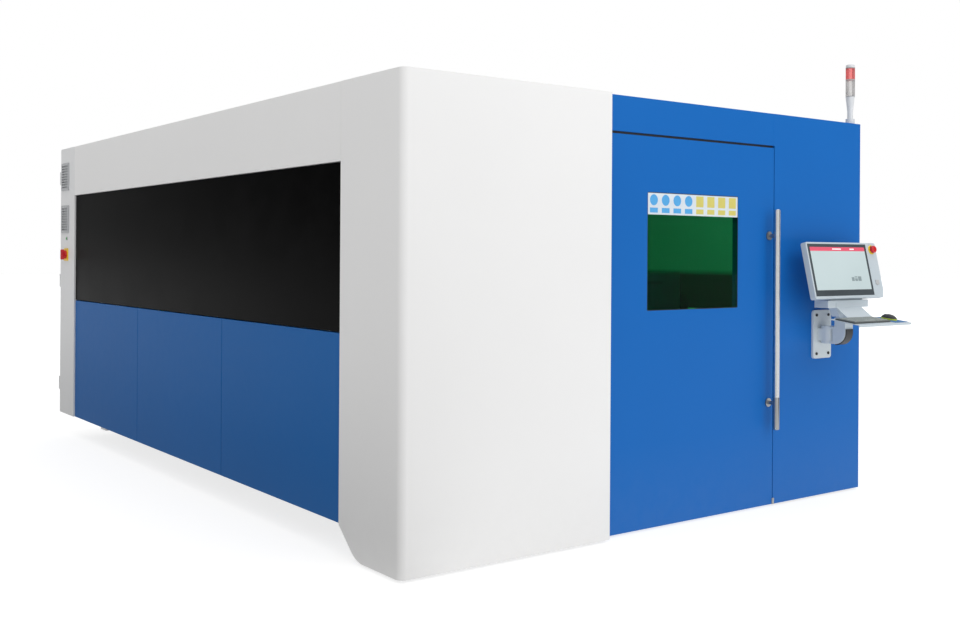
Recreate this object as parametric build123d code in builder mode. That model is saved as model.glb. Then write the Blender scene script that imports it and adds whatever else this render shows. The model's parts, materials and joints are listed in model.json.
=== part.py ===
"""Enclosed fiber laser cutting machine: bed and gantry, framed enclosure with a sliding front door,
control and laser cabinets at the rear, operator console on a swinging arm and a tower light.

X runs across the front, Y from the front to the rear and Z up from the floor. The origin lies on the
floor in the middle of the four anchor holes. All lengths are in millimetres.
"""

from build123d import *
import os
from math import cos, radians, sin

os.makedirs("parts", exist_ok=True)

# Whole machine
machine_width = 3300
machine_length = 5000
machine_height = 2200

# Folded sheet covers
sheet = 3
panel_depth = 40
side_recess = 12
seam = 4
edge_round = 2.5
floor_gap = 12
cut_overrun = 20

# Frame of square tubes and its feet
tube = 80
base_height = 150
foot_inset = 298
foot_plate_length = 200
foot_plate_width = 120
foot_plate_depth = 16
foot_stem_radius = 20
foot_shift = 40
anchor_offset = 95
anchor_hole_radius = 9

# White corner cover at the left of the front
corner_front_width = 1210
corner_side_width = 530
corner_round = 35
corner_return = 38
toe_run = 160
toe_round = 160
top_return = 60

# Blue front: header, fixed cover and sliding door
front_setback = 50
fixed_cover_width = 801
fixed_cover_round = 6
header_height = 180
header_clearance = 4
door_head_gap = 12
door_depth = 40
door_overlap = 50
door_floor_gap = 12
track_depth = 50
door_window_height = 605
door_window_head = 283
door_window_margin = 300
door_window_closing_margin = 345
door_window_round = 8
door_glass = 8
glass_recess = 2
glass_fit = 0.3

# Door handle
handle_length = 1220
handle_radius = 17
handle_standoff = 58
handle_post_spacing = 930
handle_post_radius = 10
handle_rose_radius = 24
handle_rose_depth = 6
handle_inset = 42
handle_lift = 40
handle_end_bevel = 3
weld_gap = 0.1

# Door rail, hangers, guide and keeper
door_rail_drop = 60
door_rail_width = 20
door_rail_face = 24
door_rail_end = 60
hanger_width = 120
hanger_length = 250
hanger_thickness = 8
hanger_inset = 150
hanger_rise = 30
hanger_gap = 8
hanger_block_height = 48
slide_fit = 0.3
door_guide_width = 80
door_guide_rise = 180
keeper_width = 16
keeper_height = 34
keeper_depth = 6
keeper_lap = 5

# Sides
side_panel_count = 3
window_sill = 1036
fascia_height = 370
window_pane = 10
window_bar = 40

# Cabinets at the two rear corners
cabinet_width = 750
cabinet_depth = 370
cabinet_door_depth = 30
cabinet_seal = 2
cabinet_lock_height = 1150
cabinet_lock_inset = 40
cabinet_lock_radius = 16
cabinet_lock_depth = 6
hinge_count = 3
hinge_end = 225
hinge_radius = 8
hinge_length = 50
hinge_play = 0.3
hinge_pin_radius = 4
hinge_pin_length = 30
hinge_fit = 0.05
hinge_side_gap = 2
drive_count = 5
drive_width = 80
drive_height = 320
drive_depth = 170
drive_pitch = 110
drive_level = 1300
drive_plate_margin = 60
drive_plate = 4
supply_width = 420
supply_height = 260
supply_depth = 140
supply_level = 700
source_width = 480
source_depth = 260
source_height = 860
source_rib_count = 6
source_rib_pitch = 60
source_rib_height = 12
source_rib_depth = 10
source_round = 8

# Vent grilles, main switch and lamp on the side of the control cabinet
vent_width = 180
vent_height = 212
vent_depth = 10
vent_round = 8
vent_rim = 15
vent_slot_count = 9
vent_slot = 11
vent_end_rim = 16
vent_offset = 148
vent_drop = 220
vent_step = 327
switch_offset = 175
switch_drop = 124
switch_plate = 96
switch_plate_depth = 6
switch_plate_round = 6
switch_gap = 0.3
switch_knob_radius = 32
switch_knob_depth = 14
switch_grip_length = 78
switch_grip_width = 22
switch_grip_depth = 24
switch_grip_round = 5
switch_shaft_radius = 8
switch_shaft_reach = 30
shaft_fit = 0.1
lamp_offset = 188
lamp_drop = 149
lamp_radius = 11
lamp_depth = 8
lamp_bevel = 3

# Rear wall, pallet gate and dust outlet
gate_sill = 640
gate_head = 1150
gate_thickness = 16
gate_engagement = 30
gate_lap = 10
gate_play = 1
gate_guide_width = 50
gate_guide_depth = 40
gate_guide_height = 1050
gate_guide_foot = 20
spigot_height = 400
spigot_radius = 100
spigot_length = 120
spigot_flange = 140
spigot_wall = 3

# Bed
bed_beam_width = 220
bed_top = 820
bed_front_gap = 580
bed_rear_gap = 90
bed_tie_gap = 40
bed_tie_width = 100
ledge_depth = 130
ledge_thickness = 20
ledge_drop = 160
guide_rail = 28
rack_width = 30
rack_height = 30
chute_thickness = 12
chute_foot_gap = 200
chute_gap = 80

# Pallet with its support slats
pallet_front_gap = 170
pallet_rear_gap = 510
pallet_width = 1680
pallet_side_gap = 90
pallet_bar_width = 60
pallet_bar_height = 110
pallet_end_bar = 40
slat_count = 22
slat_end_gap = 62
slat_thickness = 5
slat_lift = 10
slat_height = 110
slat_tooth_count = 12
slat_tooth_depth = 25

# Gantry, parked at the front end of the bed
gantry_park = 350
gantry_depth = 240
gantry_height = 290
gantry_overhang = 90
gantry_chamfer = 60
gantry_pockets = 6
gantry_rib = 50
gantry_pocket_rise = 115
gantry_pocket_height = 150
gantry_pocket_depth = 90
carriage_length = 340
carriage_inner = 110
carriage_plate = 40
carriage_riser = 88
carriage_riser_width = 200
block_width = 70
block_length = 110
block_gap = 6
block_height = 46
block_spacing = 220
motor_width = 130
motor_height = 190
motor_cap_height = 40
motor_cap_inset = 12
motor_gap = 5
motor_bevel = 10
pinion_fit = 0.3
pinion_height = 40
motor_shaft_radius = 14

# Head carriage, lift slide and cutting head
cross_rail = 20
cross_rail_end = 180
cross_rail_spacing = 170
head_plate_width = 280
head_plate_height = 270
head_plate = 20
head_block_width = 70
head_block_height = 44
head_block_gap = 2
head_block_depth = 28
head_block_spacing = 180
lift_rail_width = 44
lift_rail_depth = 20
lift_slide_width = 120
lift_slide_depth = 40
lift_slide_height = 300
lift_slide_gap = 2
lift_slide_rise = 30
head_width = 110
head_depth = 90
head_height = 240
head_drop = 190
head_round = 10
collimator_radius = 36
collimator_height = 130
nozzle_cone_height = 45
nozzle_cone_radius = 40
nozzle_neck_radius = 13
nozzle_tip_height = 12
nozzle_tip_radius = 4

# Wall bracket and arm of the console
console_inset = 380
bracket_width = 165
bracket_height = 280
bracket_thickness = 14
bracket_level = 950
bracket_round = 18
pivot_gap = 2
boss_radius = 46
boss_height = 70
pivot_radius = 16
pivot_fit = 0.05
ear_gap = 0.3
ear_thickness = 14
arm_width = 74
arm_clearance = 3
arm_post_inner = 62
arm_post_outer = 132
arm_rise = 102
arm_elbow_round = 70
elbow_cover_thickness = 6
elbow_cover_width = 62
elbow_cover_tail = 18
swivel_radius = 20
swivel_depth = 35

# Console stand, housing and glass
swivel_flange_radius = 42
swivel_flange = 8
neck_width = 215
neck_foot_width = 150
neck_depth = 50
low_box_width = 375
low_box_depth = 90
low_box_height = 42
neck_height = 60
low_box_setback = 15
cradle_width = 300
cradle_rise = 150
cradle_depth = 40
cradle_drop = 30
console_tilt = 13
console_width = 646
console_height = 325
console_depth = 35
console_rise = 54
console_standout = 51
console_round = 12
console_cut_width = 16
console_cut_height = 44
strip_width = 96
bezel_margin = 10
bezel_foot = 15
bezel_depth = 4
bezel_fit = 0.2

# Emergency stop on the control strip
stop_drop = 42
stop_radius = 21
stop_head = 18
stop_bevel = 5
stop_gap = 10
stop_stem_radius = 11
stop_stem_depth = 14
stop_travel = 6
stop_fit = 0.1

# Keyboard tray, keyboard and mouse
tray_depth = 192
tray_shift = 42
tray_tilt = 7
tray_drop = 54
tray_standout = 110
tray_lip = 12
tray_arm_width = 230
tray_arm_flange = 26
keyboard_width = 330
keyboard_depth = 128
keyboard_thickness = 9
keyboard_round = 6
keyboard_inset = 12
keyboard_setback = 28
key_columns = 15
key_rows = 5
key_margin = 11.25
key_row_margin = 10.25
key_gap = 3.5
key_height = 4
mouse_width = 60
mouse_length = 104
mouse_height = 32
mouse_shoulder = 18
mouse_shoulder_inset = 3
mouse_crown_inset = 15
mouse_gap = 47
mouse_margin = 36
mouse_setback = 92

# Tower light on the right front corner of the roof
light_inset_x = 50
light_inset_y = 90
light_base_radius = 27
light_base_height = 31
light_neck_radius = 17
light_neck_height = 48
light_taper_height = 88
light_lens_radius = 27
light_clear_height = 100
light_red_height = 73
light_cap_height = 20
light_cap_bevel = 5

# Places that follow from the sizes above
centre_centre_max = (Align.CENTER, Align.CENTER, Align.MAX)
centre_centre_min = (Align.CENTER, Align.CENTER, Align.MIN)
left_x = -machine_width / 2
right_x = machine_width / 2
front_y = -machine_length / 2
rear_y = machine_length / 2
frame_x = right_x - side_recess - panel_depth
frame_inner_x = frame_x - tube
foot_x = frame_x - foot_inset
blue_y = front_y + front_setback
door_back_y = blue_y + door_depth
frame_front_y = door_back_y + track_depth
side_start_y = front_y + corner_side_width
side_end_y = rear_y - cabinet_depth
panel_pitch = (side_end_y - side_start_y) / side_panel_count
frame_rear_y = side_end_y - tube / 2
post_lines = [side_start_y + n * panel_pitch for n in range(side_panel_count)] + [frame_rear_y]
base_top = base_height + tube
roof_z = machine_height - panel_depth
window_head = machine_height - fascia_height
rail_foot_z = roof_z - tube
door_rail_height = roof_z - door_rail_drop
corner_edge_x = left_x + corner_front_width
fixed_edge_x = right_x - fixed_cover_width
header_foot_z = machine_height - header_height
door_top_z = header_foot_z - door_head_gap
door_left_x = corner_edge_x - door_overlap
door_right_x = fixed_edge_x - seam
door_width = door_right_x - door_left_x
door_height = door_top_z - door_floor_gap
door_window_width = door_width - door_window_margin - door_window_closing_margin
window_centre_x = door_right_x - door_window_margin - door_window_width / 2
window_centre_z = door_top_z - door_window_head - door_window_height / 2
handle_x = door_right_x - handle_inset
handle_height = door_floor_gap + door_height / 2 + handle_lift
handle_y = blue_y - handle_standoff
cabinet_inner_x = right_x - cabinet_width
cabinet_rear_y = rear_y - cabinet_door_depth
anchor_y = -frame_front_y - tube / 2
bed_front_y = frame_front_y + tube + bed_front_gap
bed_rear_y = side_end_y - bed_rear_gap
bed_inner_x = pallet_width / 2 + pallet_side_gap
bed_beam_x = bed_inner_x + bed_beam_width / 2
bed_outer_x = bed_inner_x + bed_beam_width
ledge_top = bed_top - ledge_drop
ledge_foot = ledge_top - ledge_thickness
gantry_y = bed_front_y + gantry_park


def left_face(y, z, inset):
    """Plane on the left side, looking out of the machine, with its X towards the front."""
    return Plane(origin=(left_x + inset, y, z), x_dir=(0, -1, 0), z_dir=(-1, 0, 0))


def right_face(y, z, inset):
    """Plane on the right side, looking out of the machine, with its X towards the rear."""
    return Plane(origin=(right_x - inset, y, z), x_dir=(0, 1, 0), z_dir=(1, 0, 0))


def front_face(x, y, z):
    """Plane that looks to the front."""
    return Plane(origin=(x, y, z), x_dir=(1, 0, 0), z_dir=(0, -1, 0))


def rear_face(x, y, z):
    """Plane that looks to the rear."""
    return Plane(origin=(x, y, z), x_dir=(-1, 0, 0), z_dir=(0, 1, 0))


def save(shape, name):
    """Label a sub-part and write it to its own file."""
    shape.label = name
    export_step(shape, f"parts/{name}.step")


def save_group(pieces, name):
    """Write several solids that touch, but stay separate, as one sub-part."""
    save(Compound(children=[piece for part in pieces for piece in part.solids()]), name)


def bar(x_pair, y_pair, z_pair):
    """Straight bar between two places on each axis."""
    with BuildPart() as piece:
        with Locations((sum(x_pair) / 2, sum(y_pair) / 2, sum(z_pair) / 2)):
            Box(abs(x_pair[1] - x_pair[0]), abs(y_pair[1] - y_pair[0]), abs(z_pair[1] - z_pair[0]))
    return piece.part


def folded_panel(plane, width, height, depth):
    """Flat sheet with four returns, open at the back. Its face lies on the plane."""
    with BuildPart(plane) as panel:
        Box(width, height, depth, align=centre_centre_max)
        fillet(panel.faces().sort_by(Axis(plane.origin, plane.z_dir))[-1].edges(), edge_round)
        with Locations((0, 0, -sheet)):
            Box(width - 2 * sheet, height - 2 * sheet, depth, align=centre_centre_max, mode=Mode.SUBTRACT)
    return panel.part


# Levelling feet; the four at the corners have an anchor hole
def foot(x, y, anchored):
    """Plate on the floor with a stem up to the frame."""
    inward = -1 if x > 0 else 1
    with BuildPart() as piece:
        with Locations((x + inward * foot_shift, y)):
            Box(foot_plate_length, foot_plate_width, foot_plate_depth, align=centre_centre_min)
        with Locations((x, y)):
            Cylinder(foot_stem_radius, base_height, align=centre_centre_min)
        if anchored:
            with Locations((x + inward * anchor_offset, y, foot_plate_depth)):
                Hole(anchor_hole_radius, foot_plate_depth)
    return piece.part


feet = [foot(side * foot_x, end * anchor_y, True) for side in (-1, 1) for end in (-1, 1)]
feet += [foot(side * bed_beam_x, y, False) for side in (-1, 1) for y in post_lines[1:3]]
save_group(feet, "levelling_feet")

# Base frame
base_z = (base_height, base_top)
front_tube_y = (frame_front_y, frame_front_y + tube)
between_x = (-frame_inner_x, frame_inner_x)
base_bars = [bar((-frame_x, frame_x), front_tube_y, base_z)]
base_bars += [bar(between_x, (y - tube / 2, y + tube / 2), base_z) for y in post_lines]
for side in (-1, 1):
    base_bars.append(bar((side * frame_inner_x, side * frame_x), (front_tube_y[1], side_end_y), base_z))

# Enclosure posts
post_z = (base_top, rail_foot_z)
posts = []
for side in (-1, 1):
    side_tube_x = (side * frame_inner_x, side * frame_x)
    posts.append(bar(side_tube_x, front_tube_y, post_z))
    posts += [bar(side_tube_x, (y - tube / 2, y + tube / 2), post_z) for y in post_lines]
posts.append(bar((corner_edge_x - tube, corner_edge_x), front_tube_y, post_z))
posts.append(bar((fixed_edge_x, fixed_edge_x + tube), front_tube_y, post_z))

# Rails around and across the roof
rail_z = (rail_foot_z, roof_z)
roof_bars = [bar((-frame_x, frame_x), front_tube_y, rail_z)]
roof_bars += [bar(between_x, (y - tube / 2, y + tube / 2), rail_z) for y in post_lines[1:]]
for side in (-1, 1):
    roof_bars.append(bar((side * frame_inner_x, side * frame_x), (front_tube_y[1], side_end_y), rail_z))
save_group(base_bars + posts + roof_bars, "enclosure_frame")


def corner_outline(face_y, front_width, round_radius, inset):
    """Plan of a cover around the left front corner, drawn inwards by the inset."""
    with BuildSketch(mode=Mode.PRIVATE) as plan:
        with Locations((left_x + inset, face_y + inset)):
            Rectangle(
                front_width - 2 * inset, side_start_y - face_y - 2 * inset, align=(Align.MIN, Align.MIN)
            )
        fillet(plan.vertices().group_by(Axis.X)[0].sort_by(Axis.Y)[0], round_radius - inset)
    return plan.sketch


def corner_shell(face_y, front_width, round_radius, jamb_depth):
    """Folded cover around the left front corner: two legs with returns and a flange along the roof."""
    with BuildPart() as shell:
        with BuildSketch(Plane.XY.offset(floor_gap)):
            add(corner_outline(face_y, front_width, round_radius, 0))
            add(corner_outline(face_y, front_width, round_radius, sheet), mode=Mode.SUBTRACT)
            with Locations((-frame_x, face_y + jamb_depth)):
                Rectangle(machine_width, machine_length, align=(Align.MIN, Align.MIN), mode=Mode.SUBTRACT)
        extrude(amount=machine_height - floor_gap)
        with BuildSketch(Plane.XY.offset(machine_height - sheet)):
            add(corner_outline(face_y, front_width, round_radius, 0))
            with Locations((-frame_x, frame_front_y)):
                Rectangle(machine_width, machine_length, align=(Align.MIN, Align.MIN), mode=Mode.SUBTRACT)
        extrude(amount=sheet)
        with Locations((-frame_x, frame_front_y, machine_height)):
            Box(
                left_x + front_width + frame_x, sheet, top_return, align=(Align.MIN, Align.MAX, Align.MAX)
            )
    return shell.part


# White corner cover with the toe of its side leg cut back to the height of the side panels
with BuildPart() as corner_cover:
    add(corner_shell(front_y, corner_front_width, corner_round, corner_return))
    with BuildSketch(Plane.YZ) as side_view:
        with BuildLine():
            Polyline(
                (front_y - cut_overrun, floor_gap),
                (side_start_y - toe_run, floor_gap),
                (side_start_y, base_height),
                (side_start_y, machine_height + cut_overrun),
                (front_y - cut_overrun, machine_height + cut_overrun),
                close=True,
            )
        make_face()
        fillet(side_view.vertices().group_by(Axis.Y)[0].sort_by(Axis.X)[-1], toe_round)
    extrude(amount=machine_width, both=True, mode=Mode.INTERSECT)
save(corner_cover.part, "front_corner_cover")

# Blue fixed cover around the right front corner
with BuildPart() as fixed_cover:
    add(
        corner_shell(blue_y, fixed_cover_width, fixed_cover_round, frame_front_y - blue_y).mirror(Plane.YZ)
    )
save(fixed_cover.part, "front_right_cover")

# Header over the door
header_x = (corner_edge_x + seam, door_right_x)
header_width = header_x[1] - header_x[0]
header_plane = front_face(sum(header_x) / 2, blue_y, header_foot_z + header_height / 2)
with BuildPart() as header:
    add(folded_panel(header_plane, header_width, header_height, door_depth - header_clearance))
    with Locations((header_x[0], frame_front_y, machine_height)):
        Box(
            header_width, frame_front_y - blue_y - edge_round, sheet, align=(Align.MIN, Align.MAX, Align.MAX)
        )
        Box(header_width, sheet, top_return, align=(Align.MIN, Align.MAX, Align.MAX))
save(header.part, "front_header")

# Sliding door with its window opening
door_plane = front_face(door_left_x + door_width / 2, blue_y, door_floor_gap + door_height / 2)
with BuildPart(door_plane) as door:
    Box(door_width, door_height, door_depth, align=centre_centre_max)
    fillet(door.faces().sort_by(Axis.Y)[0].edges(), edge_round)
    with BuildSketch(front_face(window_centre_x, blue_y + door_depth, window_centre_z)):
        RectangleRounded(door_window_width, door_window_height, door_window_round)
    extrude(amount=door_depth + cut_overrun, mode=Mode.SUBTRACT)
save(door.part, "front_door")

# Laser-safe window pane in the door
with BuildPart() as door_pane:
    with BuildSketch(front_face(window_centre_x, blue_y + glass_recess, window_centre_z)):
        RectangleRounded(
            door_window_width - 2 * glass_fit,
            door_window_height - 2 * glass_fit,
            door_window_round - glass_fit,
        )
    extrude(amount=-door_glass)
save(door_pane.part, "door_window")

# Tube handle and its posts
with BuildPart() as handle:
    with Locations((handle_x, handle_y, handle_height)):
        Cylinder(handle_radius, handle_length)
    chamfer(handle.edges().filter_by(GeomType.CIRCLE), handle_end_bevel)
save(handle.part, "door_handle")

with BuildPart(front_face(handle_x, blue_y, handle_height)) as handle_posts:
    with GridLocations(0, handle_post_spacing, 1, 2):
        Cylinder(handle_post_radius, handle_standoff, align=centre_centre_min)
        Cylinder(handle_rose_radius, handle_rose_depth, align=centre_centre_min)
    with BuildSketch(Plane(origin=(handle_x, handle_y, handle_height))):
        Circle(handle_radius + weld_gap)
    extrude(amount=handle_length, both=True, mode=Mode.SUBTRACT)
save(handle_posts.part, "handle_posts")

# Rail that carries the door, on the front roof rail
rail_left_x = -frame_x + door_rail_end
rail_right_x = door_right_x - door_rail_end
door_rail_y = (frame_front_y - door_rail_width, frame_front_y)
door_rail_z = (door_rail_height - door_rail_face / 2, door_rail_height + door_rail_face / 2)
save(bar((rail_left_x, rail_right_x), door_rail_y, door_rail_z), "door_rail")

# Two hangers with grooved blocks that run on the rail
hanger_top_z = door_rail_height + hanger_rise
hanger_block_depth = track_depth - hanger_thickness - hanger_gap
with BuildPart() as hangers:
    for hanger_x in (door_left_x + hanger_inset, door_right_x - hanger_inset):
        with Locations((hanger_x, door_back_y, hanger_top_z)):
            Box(
                hanger_width, hanger_thickness, hanger_length, align=(Align.CENTER, Align.MIN, Align.MAX)
            )
        with Locations((hanger_x, door_back_y + hanger_thickness, door_rail_height)):
            Box(
                hanger_width,
                hanger_block_depth,
                hanger_block_height,
                align=(Align.CENTER, Align.MIN, Align.CENTER),
            )
        with Locations((hanger_x, door_rail_y[0] - slide_fit, door_rail_height)):
            Box(
                hanger_width + cut_overrun,
                track_depth,
                door_rail_face + 2 * slide_fit,
                align=(Align.CENTER, Align.MIN, Align.CENTER),
                mode=Mode.SUBTRACT,
            )
save(hangers.part, "door_hangers")

# Guide behind the foot of the door and keeper at its locking edge
guide_block = bar(
    (corner_edge_x - door_guide_width, corner_edge_x),
    (door_back_y + slide_fit, frame_front_y),
    (base_height + tube / 2 - door_guide_rise / 2, base_height + tube / 2 + door_guide_rise / 2),
)
with BuildPart(front_face(door_right_x - keeper_lap, blue_y, floor_gap)) as keeper:
    Box(keeper_width, keeper_height, keeper_depth, align=(Align.MIN, Align.MIN, Align.MIN))
    fillet(keeper.faces().sort_by(Axis.Y)[0].edges(), edge_round)
    Box(
        keeper_lap + seam,
        keeper_height,
        slide_fit,
        align=(Align.MIN, Align.MIN, Align.MIN),
        mode=Mode.SUBTRACT,
    )
save_group([guide_block, keeper.part], "door_guide")

# Left side: fascia, window, window frame and lower panels
side_run = side_end_y - side_start_y - seam
side_centre_y = (side_start_y + side_end_y) / 2
cover_depth = panel_depth + side_recess
save(
    folded_panel(
        left_face(side_centre_y, window_head + fascia_height / 2, 0), side_run, fascia_height, cover_depth
    ),
    "left_fascia",
)

pane_height = window_head - window_sill - seam
with BuildPart(left_face(side_centre_y, (window_sill + window_head) / 2, side_recess)) as side_window:
    Box(side_run, pane_height, window_pane, align=centre_centre_max)
    fillet(side_window.faces().sort_by(Axis.X)[0].edges(), edge_round)
save(side_window.part, "left_window")

bar_x = (left_x + side_recess + window_pane, -frame_x)
pane_y = (side_centre_y - side_run / 2, side_centre_y + side_run / 2)
pane_z = (window_sill + seam / 2, window_head - seam / 2)
stile_z = (pane_z[0] + window_bar, pane_z[1] - window_bar)
window_bars = [bar(bar_x, pane_y, (pane_z[0], stile_z[0])), bar(bar_x, pane_y, (stile_z[1], pane_z[1]))]
window_bars.append(bar(bar_x, (pane_y[0], pane_y[0] + window_bar), stile_z))
window_bars.append(bar(bar_x, (pane_y[1] - window_bar, pane_y[1]), stile_z))
window_bars += [bar(bar_x, (y - window_bar / 2, y + window_bar / 2), stile_z) for y in post_lines[1:3]]
save_group(window_bars, "left_window_frame")

lower_height = window_sill - base_height - seam
lower_centre_z = base_height + lower_height / 2
panel_width = panel_pitch - seam
panel_centres = [side_start_y + (n + 1 / 2) * panel_pitch for n in range(side_panel_count)]
left_lower = [
    folded_panel(left_face(y, lower_centre_z, side_recess), panel_width, lower_height, panel_depth)
    for y in panel_centres
]
save_group(left_lower, "left_lower_panels")

# Right side: lower and upper panels
right_lower = [
    folded_panel(right_face(y, lower_centre_z, side_recess), panel_width, lower_height, panel_depth)
    for y in panel_centres
]
upper_height = machine_height - window_sill
upper_centre_z = window_sill + upper_height / 2
right_upper = [
    folded_panel(right_face(y, upper_centre_z, 0), panel_width, upper_height, cover_depth)
    for y in panel_centres
]
save_group(right_lower + right_upper, "right_side_panels")

# Roof panels
roof_pitch = (frame_rear_y - frame_front_y) / side_panel_count
roof = []
for n in range(side_panel_count):
    roof_plane = Plane(origin=(0, frame_front_y + (n + 1 / 2) * roof_pitch, machine_height))
    roof.append(folded_panel(roof_plane, 2 * frame_x - seam, roof_pitch - seam, panel_depth))
save_group(roof, "roof_panels")

# Rear wall between the cabinets: upper cover folded over the roof, and lower panel with the dust outlet
rear_width = 2 * cabinet_inner_x
hood_front_y = frame_rear_y + seam / 2
with BuildPart() as rear_upper:
    with BuildSketch(Plane.YZ):
        with Locations((rear_y, machine_height)):
            Rectangle(sheet, machine_height - gate_head, align=(Align.MAX, Align.MAX))
            Rectangle(rear_y - hood_front_y, sheet, align=(Align.MAX, Align.MAX))
        with Locations((rear_y, gate_head)):
            Rectangle(panel_depth, sheet, align=(Align.MAX, Align.MIN))
        with Locations((hood_front_y, machine_height)):
            Rectangle(sheet, panel_depth, align=(Align.MIN, Align.MAX))
    extrude(amount=rear_width / 2, both=True)
    fillet(rear_upper.edges().filter_by(Axis.X).group_by(Axis.Z)[-1].sort_by(Axis.Y)[-1], edge_round)
save(rear_upper.part, "rear_upper_panel")

rear_lower_height = gate_sill - base_height
rear_lower_plane = rear_face(0, rear_y, base_height + rear_lower_height / 2)
with BuildPart() as rear_lower:
    add(folded_panel(rear_lower_plane, rear_width, rear_lower_height, panel_depth))
    with BuildSketch(rear_face(0, rear_y - panel_depth, spigot_height)):
        Circle(spigot_radius - spigot_wall)
    extrude(amount=panel_depth + cut_overrun, mode=Mode.SUBTRACT)
save(rear_lower.part, "rear_lower_panel")

with BuildPart(rear_face(0, rear_y, spigot_height)) as spigot:
    Cylinder(spigot_flange, spigot_wall, align=centre_centre_min)
    Cylinder(spigot_radius, spigot_length, align=centre_centre_min)
    Cylinder(spigot_radius - spigot_wall, spigot_length, align=centre_centre_min, mode=Mode.SUBTRACT)
save(spigot.part, "dust_spigot")

# Lifting gate of the pallet way and its two guides
guide_y = (rear_y - panel_depth - gate_guide_depth, rear_y - panel_depth)
gate_y = sum(guide_y) / 2
gate_foot_z = gate_sill - gate_lap
gate_half = cabinet_inner_x - gate_guide_width + gate_engagement
save(
    bar(
        (-gate_half, gate_half),
        (gate_y - gate_thickness / 2, gate_y + gate_thickness / 2),
        (gate_foot_z, gate_head + gate_lap),
    ),
    "rear_gate",
)
with BuildPart() as gate_guides:
    for side in (-1, 1):
        guide_x = side * (cabinet_inner_x - gate_guide_width / 2)
        with Locations((guide_x, gate_y, gate_foot_z - gate_guide_foot)):
            Box(
                gate_guide_width,
                gate_guide_depth,
                gate_guide_height + gate_guide_foot,
                align=centre_centre_min,
            )
        with Locations((side * (cabinet_inner_x - gate_guide_width), gate_y, gate_foot_z)):
            Box(
                2 * (gate_engagement + gate_play),
                gate_thickness + 2 * gate_play,
                gate_guide_height + cut_overrun,
                align=centre_centre_min,
                mode=Mode.SUBTRACT,
            )
save(gate_guides.part, "gate_guides")

# Cabinets: shells open to the rear, with the lower hinge halves at their outer rear edges
hinge_x = right_x - hinge_radius
hinge_y = rear_y + hinge_radius
cabinet_centre_x = (cabinet_inner_x + right_x) / 2
cabinet_height = machine_height - base_height
cabinet_centre_z = base_height + cabinet_height / 2
cabinet_shell_depth = cabinet_rear_y - side_end_y
hinge_pitch = (cabinet_height - 2 * hinge_end) / (hinge_count - 1)
hinge_levels = [base_height + hinge_end + n * hinge_pitch for n in range(hinge_count)]

with BuildPart() as laser_cabinet:
    with Locations((cabinet_centre_x, cabinet_rear_y, cabinet_centre_z)):
        Box(
            cabinet_width,
            cabinet_shell_depth,
            cabinet_height,
            align=(Align.CENTER, Align.MAX, Align.CENTER),
        )
    outer_edge = laser_cabinet.edges().filter_by(Axis.Z).group_by(Axis.Y)[0].sort_by(Axis.X)[-1]
    fillet(outer_edge, edge_round)
    with Locations((cabinet_centre_x, side_end_y + sheet, cabinet_centre_z)):
        Box(
            cabinet_width - 2 * sheet,
            cabinet_shell_depth,
            cabinet_height - 2 * sheet,
            align=(Align.CENTER, Align.MIN, Align.CENTER),
            mode=Mode.SUBTRACT,
        )
    for level in hinge_levels:
        with Locations((right_x, cabinet_rear_y, level)):
            Box(sheet, hinge_y - cabinet_rear_y, hinge_length, align=(Align.MAX, Align.MIN, Align.MAX))
        with Locations((hinge_x, hinge_y, level)):
            Cylinder(hinge_radius, hinge_length, align=centre_centre_max)
            Cylinder(hinge_pin_radius, hinge_pin_length, align=centre_centre_min)
save(laser_cabinet.part, "laser_cabinet")

vent_y = rear_y - vent_offset
vent_opening = vent_width - 2 * vent_rim
vent_slot_pitch = (vent_height - 2 * vent_end_rim) / vent_slot_count
vent_upper_height = machine_height - vent_drop
vent_lower_height = vent_upper_height - vent_step
lamp_height = vent_lower_height - lamp_drop
switch_height = lamp_height - switch_drop
switch_y = rear_y - switch_offset
lamp_y = rear_y - lamp_offset
with BuildPart() as control_cabinet:
    add(laser_cabinet.part.mirror(Plane.YZ))
    for vent_z in (vent_upper_height, vent_lower_height):
        with Locations((left_x, vent_y, vent_z)):
            Box(2 * cut_overrun, vent_opening, vent_slot_count * vent_slot_pitch, mode=Mode.SUBTRACT)
    with BuildSketch(left_face(0, 0, 0)):
        with Locations((-switch_y, switch_height)):
            Circle(switch_shaft_radius + shaft_fit)
    extrude(amount=cut_overrun, both=True, mode=Mode.SUBTRACT)
save(control_cabinet.part, "control_cabinet")

# Cabinet doors with the upper hinge halves and a lock
door_outer_x = right_x - sheet - hinge_side_gap
leaf_width = door_outer_x - cabinet_inner_x
leaf_plane = rear_face((door_outer_x + cabinet_inner_x) / 2, rear_y, cabinet_centre_z)
with BuildPart() as laser_door:
    add(folded_panel(leaf_plane, leaf_width, cabinet_height, cabinet_door_depth - cabinet_seal))
    for level in hinge_levels:
        with Locations((hinge_x, hinge_y, level + hinge_play)):
            Cylinder(hinge_radius, hinge_length, align=centre_centre_min)
            Box(hinge_radius, hinge_radius + sheet, hinge_length, align=(Align.MAX, Align.MAX, Align.MIN))
            Cylinder(
                hinge_pin_radius + hinge_fit, hinge_length, align=centre_centre_min, mode=Mode.SUBTRACT
            )
    with BuildSketch(rear_face(cabinet_inner_x + cabinet_lock_inset, rear_y, cabinet_lock_height)):
        Circle(cabinet_lock_radius)
    extrude(amount=cabinet_lock_depth)
save(laser_door.part, "laser_cabinet_door")

with BuildPart() as control_door:
    add(laser_door.part.mirror(Plane.YZ))
save(control_door.part, "control_cabinet_door")

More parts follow.
